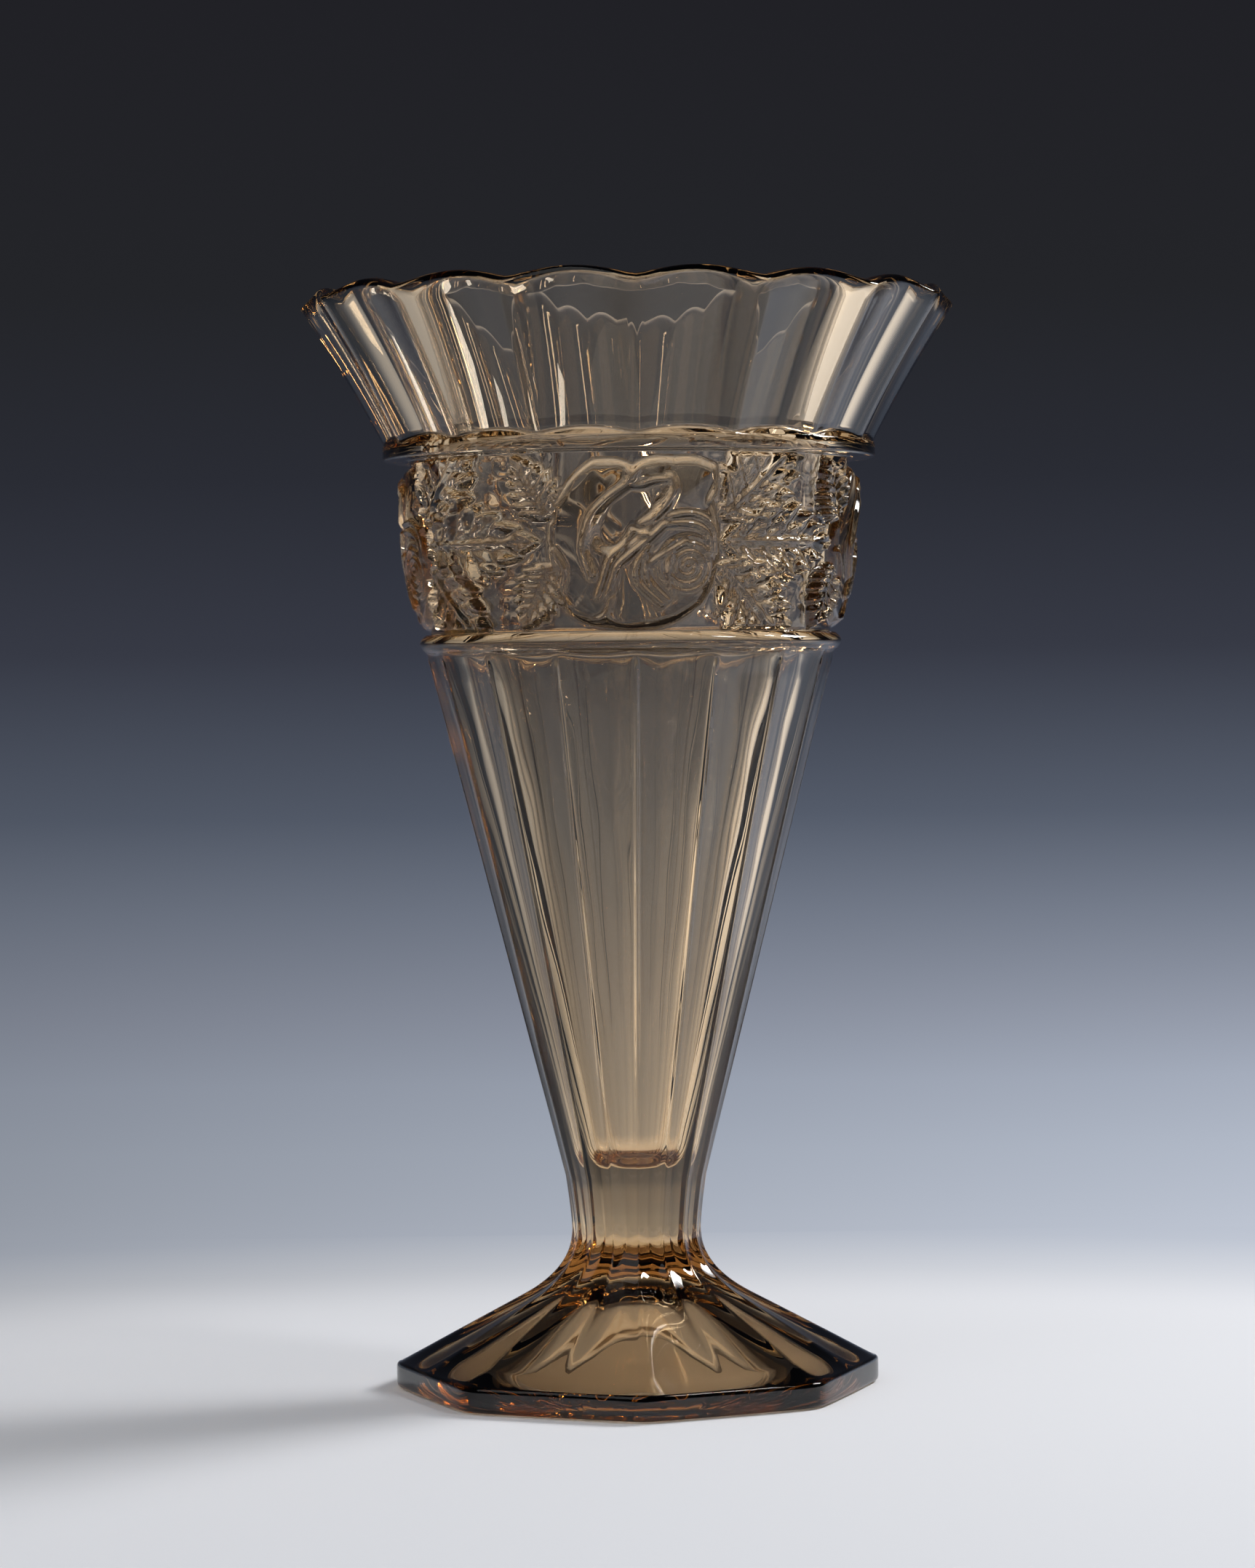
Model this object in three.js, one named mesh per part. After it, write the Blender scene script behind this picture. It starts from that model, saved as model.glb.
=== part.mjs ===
// A footed vase of smoky topaz glass, pressed in sixteen panels, with a band of roses in relief.
// Millimetres, +Z up. The origin is the middle of the underside of the foot, and one rose faces -Y.
// The vase is a single pressing: its sections below meet on the mould's own lines, face to face.
import * as THREE from 'three';
import { mergeGeometries, mergeVertices } from 'three/addons/utils/BufferGeometryUtils.js';

// Panels: two over each side of the foot, the same from foot to rim, their ridges in line.
const FOOT_SIDES = 8;
const PANELS = FOOT_SIDES * 2;
const FACETS_PER_PANEL = 4;
const PANEL_HOLLOW = 0.6;

// Foot: an octagonal slab, a slope that sweeps up into the waist, and a deep hollow underneath.
const FOOT_HEIGHT = 34;
const FOOT_RADIUS = 54;
const FOOT_EDGE_HEIGHT = 5.6;
const FOOT_EDGE_ROUND = 1.1;
const FOOT_REST_WIDTH = 5.5;
const FOOT_HOLLOW_DEPTH = 18.5;
const FOOT_CROWN_RADIUS = 9;
const FOOT_CROWN_STEPS = 3;
const SWEEP_RISE = 8.4;
const SWEEP_ROUND = 12.5;
const SWEEP_STEPS = 6;

// Stem: solid, from the waist to the bowl.
const STEM_HEIGHT = 12;
const WAIST_RADIUS = 14.9;

// Bowl: a straight cone, hollow above its thick floor.
const BOWL_HEIGHT = 115.5;
const BOWL_BASE_RADIUS = 16.3;
const BOWL_MOUTH_RADIUS = 44.9;
const BOWL_WALL = 7.5;
const BOWL_FLOOR = 3;
const HOLLOW_BASE_RADIUS = 7.2;
const HOLLOW_CORNER = 4.2;
const HOLLOW_CORNER_STEPS = 3;
const SHOULDER_PROUD = 0.4;

// Lower collar: a half-round bead under the frieze.
const COLLAR_HEIGHT = 3.5;
const COLLAR_BEAD = 1.1;
const COLLAR_STEPS = 4;

// Frieze: a tapering band, set back between the collars.
const BAND_HEIGHT = 38;
const BAND_SET_BACK = 1.2;
const BAND_TAPER = 4.3;
const BAND_WALL = 4.6;
const BAND_ROWS = 20;
const BAND_STEPS = PANELS * 10;
const BAND_EDGE = 1.2;

// Relief on the frieze: a rose over every fourth ridge, and a spray of leaves beside it.
const ROSES = 4;
const ROSE_MARGIN = 1.4;
const ROSE_EDGE_RISE = 1;
const ROSE_DOME_RISE = 2.6;
const ROSE_SIDE = 2;
const PETAL_RIM_RISE = 1.2;
const PETAL_RIM_WIDTH = 1.2;
const LEAF_RISE = 2.4;
const LEAF_SIDE = 1.2;
const LEAF_FOLD = 1;
const LEAF_SHORT = 19;
const LEAF_LONG = 28;
const LEAF_WIDTH = 16.5;
const LEAF_GAP = 0.5;
const LEAF_ROOT_STEP = 4.5;
const LEAF_SPREAD = THREE.MathUtils.degToRad(42);
const LEAF_BELLY = 0.8;

// Upper collar: a ledge that stands out over the frieze.
const LEDGE_HEIGHT = 3;
const LEDGE_OVERHANG = 5.9;
const LEDGE_BREAK = 0.6;

// Lip: sixteen flaring flutes, each with an arched top, over a smooth inside.
const LIP_HEIGHT = 32.1;
const LIP_SET_BACK = 0.4;
const LIP_FLARE = 19.4;
const LIP_START_SLOPE = 0.52;
const LIP_FOOT_HOLLOW = 1.2;
const LIP_RIM_HOLLOW = 3.2;
const LIP_FOOT_WALL = 7.6;
const LIP_RIM_WALL = 8.6;
const LIP_ROWS = 5;
const LOBE_RISE = 1.9;
const LOBE_SHARPNESS = 1.3;
const RIM_ROUND = 3.4;
const RIM_ARC_STEPS = 4;
const NECK_SOFTNESS = 1.2;

// Tints of the glass, from the thick foot to the thin lip.
const FOOT_TINT = '#8a6a3a';
const STEM_TINT = '#7d6136';
const BOWL_TINT = '#8b7f68';
const COLLAR_TINT = '#94876c';
const FRIEZE_TINT = '#8f7c58';
const LIP_TINT = '#908470';

// Radii that follow from the bowl's mouth.
const BAND_FOOT_RADIUS = BOWL_MOUTH_RADIUS - BAND_SET_BACK;
const BAND_HEAD_RADIUS = BAND_FOOT_RADIUS + BAND_TAPER;
const BAND_MIDDLE_RADIUS = (BAND_FOOT_RADIUS + BAND_HEAD_RADIUS) / 2;
const ROSE_RADIUS = BAND_HEIGHT / 2 - ROSE_MARGIN;
const LEDGE_RADIUS = BAND_HEAD_RADIUS + LEDGE_OVERHANG;
const LIP_BASE_RADIUS = LEDGE_RADIUS - LIP_SET_BACK;
const LIP_RIM_RADIUS = LIP_BASE_RADIUS + LIP_FLARE;

// Levels of the mould lines, from the floor up.
const FOOT_TOP = FOOT_HEIGHT;
const STEM_TOP = FOOT_TOP + STEM_HEIGHT;
const BOWL_TOP = STEM_TOP + BOWL_HEIGHT;
const BAND_BOTTOM = BOWL_TOP + COLLAR_HEIGHT;
const BAND_TOP = BAND_BOTTOM + BAND_HEIGHT;
const LEDGE_TOP = BAND_TOP + LEDGE_HEIGHT;

const TURN = Math.PI * 2;
const PITCH = TURN / PANELS;
const STEPS = PANELS * FACETS_PER_PANEL;
const COARSE_STEPS = PANELS * 2;
const HAIR = 1e-9;
const mix = THREE.MathUtils.lerp;
const clamp = THREE.MathUtils.clamp;

// Rows of a revolve. Each row gives [radius, height] at an angle measured from -Y towards +X.
const round = (radius, height) => () => [radius, height];
const panelled = (radius, height) => (angle) => [radius * panelShare(angle), height];

// How far along its panel an angle lies, from 0 at one ridge to 1 at the next.
function alongPanel(angle) {
  const turns = angle / PITCH;
  return turns - Math.floor(turns);
}

// Arch over a panel, from 0 at its ridges to 1 in its middle.
const panelArch = (angle) => 1 - (2 * alongPanel(angle) - 1) ** 2;

// Radius of a flat, hollowed panel, as a share of the radius at its ridges.
function panelShare(angle, hollow = PANEL_HOLLOW / BOWL_MOUTH_RADIUS) {
  const side = (alongPanel(angle) - 0.5) * PITCH;
  const flat = Math.cos(PITCH / 2) / Math.cos(side);
  return flat - hollow * panelArch(angle);
}

// Radius of the foot, where every second ridge sinks until the sixteen sides become eight.
function footShare(angle, radius) {
  const spread = (radius - WAIST_RADIUS) / (FOOT_RADIUS - WAIST_RADIUS);
  const sunk = mix(1, Math.cos(PITCH), clamp(spread, 0, 1));
  const ridge = Math.floor((angle + HAIR) / PITCH);
  const [first, last] = ridge % 2 === 0 ? [1, sunk] : [sunk, 1];
  const along = alongPanel(angle + HAIR) * PITCH;
  return (first * last * Math.sin(PITCH)) / (first * Math.sin(along) + last * Math.sin(PITCH - along));
}

// Flat caps for the two cut ends of a part turn.
function endCap(rows, angle, turned) {
  const outline = rows.slice(0, -1).map((row) => new THREE.Vector2(...row(angle)));
  const cap = new THREE.BufferGeometry();
  const points = outline.map(({ x, y }) => new THREE.Vector3(x * Math.sin(angle), -x * Math.cos(angle), y));
  const faces = THREE.ShapeUtils.triangulateShape(outline, []);
  cap.setFromPoints(points);
  cap.setIndex(faces.flatMap((face) => (turned ? [...face].reverse() : face)));
  return cap;
}

// A revolve whose rows are pressed out of round: a whole turn, or a part turn with flat ends.
function pressedRevolve(rows, steps, firstStep = 0, stepCount = steps) {
  const angleOf = (step) => (THREE.MathUtils.euclideanModulo(step, steps) / steps) * TURN;
  const profile = rows.map((row) => new THREE.Vector2(...row(angleOf(firstStep))));
  const wall = new THREE.LatheGeometry(profile, stepCount, 0, (stepCount / steps) * TURN);
  const position = wall.getAttribute('position');
  for (let i = 0; i < position.count; i += 1) {
    const angle = angleOf(firstStep + Math.floor(i / rows.length));
    const [radius, height] = rows[i % rows.length](angle);
    position.setXYZ(i, radius * Math.sin(angle), -radius * Math.cos(angle), height);
  }
  wall.deleteAttribute('normal');
  wall.deleteAttribute('uv');
  const shells = [wall];
  if (stepCount < steps) {
    shells.push(endCap(rows, angleOf(firstStep), false));
    shells.push(endCap(rows, angleOf(firstStep + stepCount), true));
  }
  const solid = mergeVertices(mergeGeometries(shells));
  solid.computeVertexNormals();
  return solid;
}

// Glass of one section, with its own tint where it is thicker or thinner.
function glass(colour) {
  return new THREE.MeshStandardMaterial({
    color: colour,
    roughness: 0.06,
    metalness: 0,
    transparent: true,
    opacity: 0.6,
  });
}

function section(name, geometry, colour) {
  const mesh = new THREE.Mesh(geometry, glass(colour));
  mesh.name = name;
  return mesh;
}

// Outer cone of the bowl at its ridges, and the hollow inside bowl, collars and band.
const bowlSlope = (BOWL_MOUTH_RADIUS - BOWL_BASE_RADIUS) / BOWL_HEIGHT;
const hollowMouth = BOWL_MOUTH_RADIUS - BOWL_WALL;
const neckSlope = (BAND_HEAD_RADIUS - BAND_WALL - hollowMouth) / (BAND_TOP - BOWL_TOP);
const neckRadius = (height) => hollowMouth + neckSlope * (height - BOWL_TOP);

// Flare of the lip at its ridges, by the height over the ledge.
const flareBend = (LIP_FLARE - LIP_START_SLOPE * LIP_HEIGHT) / LIP_HEIGHT ** 2;
const lipRadius = (rise) => LIP_BASE_RADIUS + LIP_START_SLOPE * rise + flareBend * rise ** 2;

// The smooth inside over the bowl: the neck, which bends softly out into the flare of the lip.
function insideRadius(height) {
  const rise = height - LEDGE_TOP;
  const neck = neckRadius(height);
  const flare = lipRadius(rise) - mix(LIP_FOOT_WALL, LIP_RIM_WALL, clamp(rise / LIP_HEIGHT, 0, 1));
  const softness = NECK_SOFTNESS * clamp((height - BOWL_TOP) / (LEDGE_TOP - BOWL_TOP), 0, 1);
  return (flare + neck) / 2 + Math.hypot((flare - neck) / 2, softness);
}

// The foot: deep hollow below, flat rest, rounded slab edge, straight slope and sweep.
function makeFoot() {
  const pressed = (radius, height) => (angle) => [radius * footShare(angle, radius), height];
  const restRadius = FOOT_RADIUS * Math.cos(PITCH) - FOOT_REST_WIDTH;
  const topRadius = FOOT_RADIUS - FOOT_EDGE_ROUND;
  const corner = new THREE.Vector2(WAIST_RADIUS, FOOT_TOP - SWEEP_RISE);
  const edge = new THREE.Vector2(topRadius, FOOT_EDGE_HEIGHT);
  const sweepStart = corner.clone().add(edge.clone().sub(corner).setLength(SWEEP_ROUND));
  const waist = new THREE.Vector2(WAIST_RADIUS, FOOT_TOP);
  const sweep = new THREE.QuadraticBezierCurve(sweepStart, corner, waist);
  const shoulder = new THREE.Vector2(FOOT_CROWN_RADIUS, FOOT_HOLLOW_DEPTH);
  const rest = new THREE.Vector2(restRadius, 0);
  const crownEdge = new THREE.Vector2(FOOT_CROWN_RADIUS / 3, FOOT_HOLLOW_DEPTH);
  const crown = new THREE.QuadraticBezierCurve(crownEdge, shoulder, shoulder.clone().lerp(rest, 1 / 4));
  const rows = [
    round(0, FOOT_HOLLOW_DEPTH),
    ...crown.getPoints(FOOT_CROWN_STEPS).map(({ x, y }) => round(x, y)),
    round(rest.x, rest.y),
    pressed(topRadius, 0),
    pressed(FOOT_RADIUS, FOOT_EDGE_ROUND),
    pressed(FOOT_RADIUS, FOOT_EDGE_HEIGHT - FOOT_EDGE_ROUND),
    pressed(edge.x, edge.y),
    pressed((edge.x + sweepStart.x) / 2, (edge.y + sweepStart.y) / 2),
    ...sweep.getPoints(SWEEP_STEPS).map(({ x, y }) => pressed(x, y)),
    round(0, FOOT_TOP),
  ];
  return pressedRevolve(rows, COARSE_STEPS);
}

// The stem: upright at the waist, and leaning out as the bowl does where it ends.
function makeStem() {
  const halfway = mix(WAIST_RADIUS, BOWL_BASE_RADIUS, 1 / 4);
  const rows = [
    round(0, FOOT_TOP),
    (angle) => [WAIST_RADIUS * footShare(angle, WAIST_RADIUS), FOOT_TOP],
    panelled(halfway, (FOOT_TOP + STEM_TOP) / 2),
    panelled(BOWL_BASE_RADIUS, STEM_TOP),
    round(0, STEM_TOP),
  ];
  return pressedRevolve(rows, COARSE_STEPS);
}

// The bowl: flat panels that end in arcs on a conical shoulder, and the blind hollow,
// whose wall thickens towards the floor.
function makeBowl() {
  const shoulderRadius = BOWL_MOUTH_RADIUS + SHOULDER_PROUD;
  const shoulderFoot = (angle) => {
    const share = panelShare(angle);
    const drop = (shoulderRadius - BOWL_MOUTH_RADIUS * share) / (1 - bowlSlope * share);
    return [shoulderRadius - drop, BOWL_TOP - drop];
  };
  const floor = STEM_TOP + BOWL_FLOOR;
  const wallCorner = new THREE.Vector2(HOLLOW_BASE_RADIUS, floor);
  const wallTop = new THREE.Vector2(insideRadius(BOWL_TOP), BOWL_TOP);
  const wallFoot = wallCorner.clone().add(wallTop.clone().sub(wallCorner).setLength(HOLLOW_CORNER));
  const floorEdge = new THREE.Vector2(wallCorner.x - HOLLOW_CORNER, floor);
  const bend = new THREE.QuadraticBezierCurve(wallFoot, wallCorner, floorEdge);
  const rows = [
    round(0, STEM_TOP),
    panelled(BOWL_BASE_RADIUS, STEM_TOP),
    shoulderFoot,
    round(shoulderRadius, BOWL_TOP),
    round(wallTop.x, wallTop.y),
    ...bend.getPoints(HOLLOW_CORNER_STEPS).map(({ x, y }) => round(x, y)),
    round(0, floor),
  ];
  return pressedRevolve(rows, STEPS);
}

// The bead under the frieze.
function makeLowerCollar() {
  const rows = [];
  for (let i = 0; i <= COLLAR_STEPS; i += 1) {
    const along = i / COLLAR_STEPS;
    const base = mix(BOWL_MOUTH_RADIUS + SHOULDER_PROUD, BOWL_MOUTH_RADIUS, along);
    rows.push(round(base + COLLAR_BEAD * Math.sin(Math.PI * along), mix(BOWL_TOP, BAND_BOTTOM, along)));
  }
  rows.push(round(insideRadius(BAND_BOTTOM), BAND_BOTTOM));
  rows.push(round(insideRadius(BOWL_TOP), BOWL_TOP), rows[0]);
  return pressedRevolve(rows, STEPS);
}

// Petal rims of the rose, in radii of the rose: the outline, the open cup, and the folded edges.
const PETAL_RIMS = {
  left: [[-0.05, 0.7], [-0.1, 0.87], [-0.28, 0.94], [-0.54, 0.88], [-0.83, 0.54], [-1, 0.1], [-0.72, -0.92]],
  right: [[-0.05, 0.7], [0.1, 0.9], [0.36, 0.95], [0.74, 0.94], [0.94, 0.82], [0.95, 0.6], [0.78, 0.43]],
  under: [[-0.72, -0.92], [-0.36, -1], [0.1, -0.98], [0.6, -0.86], [0.94, -0.45], [1, 0.05], [0.9, 0.38]],
  cup: [[0.37, 0.71], [-0.05, 0.61], [-0.28, 0.47], [-0.46, 0.24], [-0.57, -0.05], [-0.47, -0.58]],
  fold: [[0.37, 0.71], [0.35, 0.52], [0.26, 0.3], [0.09, 0.15]],
  innerFold: [[0.09, 0.12], [-0.03, 0.07], [-0.15, -0.1], [-0.29, -0.28], [-0.36, -0.48], [-0.41, -0.68]],
  outerFold: [[0.31, 0.16], [0.13, 0], [0.01, -0.16], [-0.18, -0.34], [-0.27, -0.5], [-0.3, -0.72]],
  heartFold: [[0.03, -0.2], [0, -0.46], [0.12, -0.64], [0.3, -0.8], [0.58, -0.84]],
};

// Curl of the rose's heart: a spiral that closes in from the folded petals.
const HEART = { middle: [0.5, -0.3], from: 0.6, to: 0.12, start: 2.4, turns: 1.9, steps: 20 };

function heartCurl() {
  const points = [];
  for (let i = 0; i <= HEART.steps; i += 1) {
    const along = i / HEART.steps;
    const reach = mix(HEART.from, HEART.to, along);
    const angle = HEART.start - along * HEART.turns * TURN;
    points.push([HEART.middle[0] + reach * Math.cos(angle), HEART.middle[1] + reach * Math.sin(angle)]);
  }
  return points;
}

const rimLines = [...Object.values(PETAL_RIMS), heartCurl()].map((points) => {
  const knots = points.map(([u, v]) => new THREE.Vector2(u * ROSE_RADIUS, v * ROSE_RADIUS));
  return new THREE.SplineCurve(knots).getPoints(points.length * FACETS_PER_PANEL);
});

// Distance from a point to a line of short straight pieces.
function distanceTo(line, point) {
  const piece = new THREE.Line3();
  const nearest = new THREE.Vector3();
  const here = new THREE.Vector3(point.x, point.y, 0);
  let least = Infinity;
  for (let i = 1; i < line.length; i += 1) {
    piece.start.set(line[i - 1].x, line[i - 1].y, 0);
    piece.end.set(line[i].x, line[i].y, 0);
    piece.closestPointToPoint(here, true, nearest);
    least = Math.min(least, nearest.distanceTo(here));
  }
  return least;
}

// Outline of the open rose: how far its petals reach, in radii of the rose, at turns in degrees.
const ROSE_OUTLINE = [
  [0, 1.02], [26, 1], [43, 1.27], [65, 1.07], [92, 0.9], [117, 1.06],
  [173, 1.04], [205, 1.07], [224, 1.17], [253, 1.04], [298, 1.06], [317, 1.08], [360, 1.02],
];

function roseReach(point) {
  const turn = THREE.MathUtils.euclideanModulo(THREE.MathUtils.radToDeg(point.angle()), 360);
  const next = ROSE_OUTLINE.findIndex(([degrees]) => degrees > turn);
  const [from, near] = ROSE_OUTLINE[next - 1];
  const [to, far] = ROSE_OUTLINE[next];
  return ROSE_RADIUS * mix(near, far, THREE.MathUtils.smoothstep(turn, from, to));
}

// Rise of the rose over the band: a soft dome with raised petal rims.
function roseRise(point) {
  const reach = roseReach(point);
  const inside = reach + PETAL_RIM_WIDTH / 2 - point.length();
  if (inside <= 0) return 0;
  const nearest = Math.min(...rimLines.map((line) => distanceTo(line, point)));
  const rim = PETAL_RIM_RISE * Math.exp(-((nearest / PETAL_RIM_WIDTH) ** 2));
  const dome = ROSE_EDGE_RISE + ROSE_DOME_RISE * Math.max(0, 1 - (point.length() / reach) ** 2);
  return (dome + rim) * Math.min(1, inside / ROSE_SIDE);
}

// Leaves of one spray: three long ones from the rose on the left, two short ones from the right.
const leftRoot = ROSE_RADIUS + LEAF_GAP - BAND_MIDDLE_RADIUS * (TURN / ROSES);
const rightRoot = -ROSE_RADIUS - LEAF_GAP;
const LEAVES = [
  { root: [leftRoot, LEAF_ROOT_STEP], turn: LEAF_SPREAD, length: LEAF_LONG },
  { root: [leftRoot, 0], turn: 0, length: LEAF_LONG },
  { root: [leftRoot, -LEAF_ROOT_STEP], turn: -LEAF_SPREAD, length: LEAF_LONG },
  { root: [rightRoot, LEAF_ROOT_STEP], turn: Math.PI - LEAF_SPREAD, length: LEAF_SHORT },
  { root: [rightRoot, -LEAF_ROOT_STEP], turn: Math.PI + LEAF_SPREAD, length: LEAF_SHORT },
];

// Rise of one leaf: a blade folded along its middle, highest at its margins.
function leafRise({ root, turn, length }, point) {
  const local = new THREE.Vector2(point.x - root[0], point.y - root[1]);
  local.rotateAround(new THREE.Vector2(), -turn);
  const along = local.x / length;
  if (along <= 0 || along >= 1) return 0;
  const half = (LEAF_WIDTH / 2) * Math.sin(Math.PI * along ** LEAF_BELLY);
  const side = half - Math.abs(local.y);
  if (side <= 0) return 0;
  const fold = LEAF_FOLD * (1 - Math.abs(local.y) / half);
  return (LEAF_RISE - fold) * Math.min(1, side / LEAF_SIDE);
}

// Rise of the relief at an angle and height, level with the band along its two edges.
function reliefRise(angle, height) {
  const quarter = TURN / ROSES;
  const fromSeam = THREE.MathUtils.euclideanModulo(angle - PITCH + HAIR, quarter);
  const across = (fromSeam + PITCH - quarter) * BAND_MIDDLE_RADIUS;
  const point = new THREE.Vector2(across, height - (BAND_BOTTOM + BAND_TOP) / 2);
  const edge = Math.min(height - BAND_BOTTOM, BAND_TOP - height) / BAND_EDGE;
  const rise = Math.max(roseRise(point), ...LEAVES.map((leaf) => leafRise(leaf, point)));
  return rise * clamp(edge, 0, 1);
}

// One quarter of the frieze, between two upright mould seams, each just right of a rose.
function makeFriezeQuarter(quarter) {
  const rows = [];
  for (let i = 0; i <= BAND_ROWS; i += 1) {
    const along = i / BAND_ROWS;
    const height = mix(BAND_BOTTOM, BAND_TOP, along);
    const base = mix(BAND_FOOT_RADIUS, BAND_HEAD_RADIUS, along);
    rows.push((angle) => [base + reliefRise(angle, height), height]);
  }
  rows.push(round(insideRadius(BAND_TOP), BAND_TOP));
  rows.push(round(insideRadius(BAND_BOTTOM), BAND_BOTTOM), rows[0]);
  const quarterSteps = BAND_STEPS / ROSES;
  const seamStep = BAND_STEPS / PANELS - quarterSteps;
  return pressedRevolve(rows, BAND_STEPS, seamStep + quarter * quarterSteps, quarterSteps);
}

// The ledge over the frieze, with its lower edge broken.
function makeUpperCollar() {
  const rows = [
    round(LEDGE_RADIUS - LEDGE_BREAK, BAND_TOP),
    round(LEDGE_RADIUS, BAND_TOP + LEDGE_BREAK),
    round(LEDGE_RADIUS, LEDGE_TOP),
    round(insideRadius(LEDGE_TOP), LEDGE_TOP),
    round(insideRadius(BAND_TOP), BAND_TOP),
  ];
  return pressedRevolve([...rows, rows[0]], STEPS);
}

// The lip: flutes that rise in arcs from the ledge and flare to a rounded, scalloped rim.
function makeLip() {
  const fluteShare = (angle, along) => {
    const deep = mix(LIP_FOOT_HOLLOW, LIP_RIM_HOLLOW, along);
    return panelShare(angle, deep / mix(LIP_BASE_RADIUS, LIP_RIM_RADIUS, along));
  };
  const edgeRise = (angle) => LIP_HEIGHT + LOBE_RISE * panelArch(angle) ** LOBE_SHARPNESS - RIM_ROUND / 2;
  const footRise = (angle) => {
    const share = fluteShare(angle, 0);
    return (LEDGE_RADIUS - LIP_BASE_RADIUS * share) / (1 + LIP_START_SLOPE * share);
  };
  const outside = (along) => (angle) => {
    const rise = mix(footRise(angle), edgeRise(angle), along);
    return [lipRadius(rise) * fluteShare(angle, along), LEDGE_TOP + rise];
  };
  const inside = (along) => (angle) => {
    const height = LEDGE_TOP + edgeRise(angle) * along;
    return [insideRadius(height), height];
  };
  const rim = (along) => (angle) => {
    const [outRadius, height] = outside(1)(angle);
    const [inRadius] = inside(1)(angle);
    const half = (outRadius - inRadius) / 2;
    const swing = along * Math.PI;
    return [outRadius - half + half * Math.cos(swing), height + (RIM_ROUND / 2) * Math.sin(swing)];
  };
  const rows = [round(LEDGE_RADIUS, LEDGE_TOP)];
  for (let i = 0; i <= LIP_ROWS; i += 1) rows.push(outside(i / LIP_ROWS));
  for (let i = 1; i < RIM_ARC_STEPS; i += 1) rows.push(rim(i / RIM_ARC_STEPS));
  for (let i = LIP_ROWS; i >= 0; i -= 1) rows.push(inside(i / LIP_ROWS));
  return pressedRevolve([...rows, rows[0]], STEPS);
}

const vase = new THREE.Group();
vase.add(section('foot', makeFoot(), FOOT_TINT));
vase.add(section('stem', makeStem(), STEM_TINT));
vase.add(section('bowl', makeBowl(), BOWL_TINT));
vase.add(section('lower_collar', makeLowerCollar(), COLLAR_TINT));
for (let quarter = 0; quarter < ROSES; quarter += 1) {
  vase.add(section(`frieze_quarter_${quarter + 1}`, makeFriezeQuarter(quarter), FRIEZE_TINT));
}
vase.add(section('upper_collar', makeUpperCollar(), COLLAR_TINT));
vase.add(section('flared_lip', makeLip(), LIP_TINT));

export default vase;
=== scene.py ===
"""Footed vase of smoky topaz glass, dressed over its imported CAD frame.

The vase is a single pressing, so its look is one closed skin of glass. A profile is spun into a
round body, and the body is then pressed into panels, relief and lobes, as the mould does it.
Metres, +Z up, in the frame of the CAD nodes. One rose faces -Y.
"""

import logging
import math
from dataclasses import dataclass, field
from enum import Enum
from typing import ClassVar

import bmesh
import bpy
import numpy as np
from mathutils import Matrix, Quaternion, Vector


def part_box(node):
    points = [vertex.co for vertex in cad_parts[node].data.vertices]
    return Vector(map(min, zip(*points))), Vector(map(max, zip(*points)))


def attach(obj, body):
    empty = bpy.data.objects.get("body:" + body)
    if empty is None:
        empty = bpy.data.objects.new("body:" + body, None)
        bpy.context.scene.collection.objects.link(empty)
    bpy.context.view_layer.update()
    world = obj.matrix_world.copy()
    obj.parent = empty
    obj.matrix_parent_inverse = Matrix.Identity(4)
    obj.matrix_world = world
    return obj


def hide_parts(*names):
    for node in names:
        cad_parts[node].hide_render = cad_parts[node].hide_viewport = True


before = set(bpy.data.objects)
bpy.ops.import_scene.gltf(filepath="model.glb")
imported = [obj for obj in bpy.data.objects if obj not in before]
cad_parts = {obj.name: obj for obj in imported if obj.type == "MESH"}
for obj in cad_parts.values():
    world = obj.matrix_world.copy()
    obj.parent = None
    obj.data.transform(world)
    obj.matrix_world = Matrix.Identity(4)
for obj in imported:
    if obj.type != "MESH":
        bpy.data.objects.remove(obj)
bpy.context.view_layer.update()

log = logging.getLogger("chalice_vase")

MM = 0.001
TURN = 2 * math.pi
WELD = 0.001 * MM
MOUTH_RADIUS = 44.9 * MM
PHOTO_WIDTH = 1725
PHOTO_HEIGHT = 2156
SRGB_KNEE = 0.04045
SRGB_SLOPE = 12.92
SRGB_LIFT = 0.055
SRGB_POWER = 2.4

Row = tuple[float, float]
Rows = list[Row]
Point = tuple[float, float, float]
Colour = tuple[float, float, float, float]
Array = np.ndarray
Lengths = np.ndarray | float
Pair = tuple[np.ndarray, np.ndarray]
Tree = bpy.types.NodeTree
Socket = bpy.types.NodeSocket
Value = bpy.types.NodeSocket | float


class Node(str, Enum):
    """Sections of the CAD model that the glass skin stands for."""

    FOOT = "foot"
    STEM = "stem"
    BOWL = "bowl"
    LOWER_COLLAR = "lower_collar"
    FRIEZE_1 = "frieze_quarter_1"
    FRIEZE_2 = "frieze_quarter_2"
    FRIEZE_3 = "frieze_quarter_3"
    FRIEZE_4 = "frieze_quarter_4"
    UPPER_COLLAR = "upper_collar"
    LIP = "flared_lip"


def smooth_step(value: Array) -> Array:
    """Eases a share from 0 to 1."""
    share = np.clip(value, 0, 1)
    return share * share * (3 - 2 * share)


def smooth_max(first: Lengths, second: Lengths, softness: Lengths) -> Lengths:
    """The larger of two lengths, with a soft change from one to the other."""
    return (first + second) / 2 + np.hypot((first - second) / 2, softness)


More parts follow.
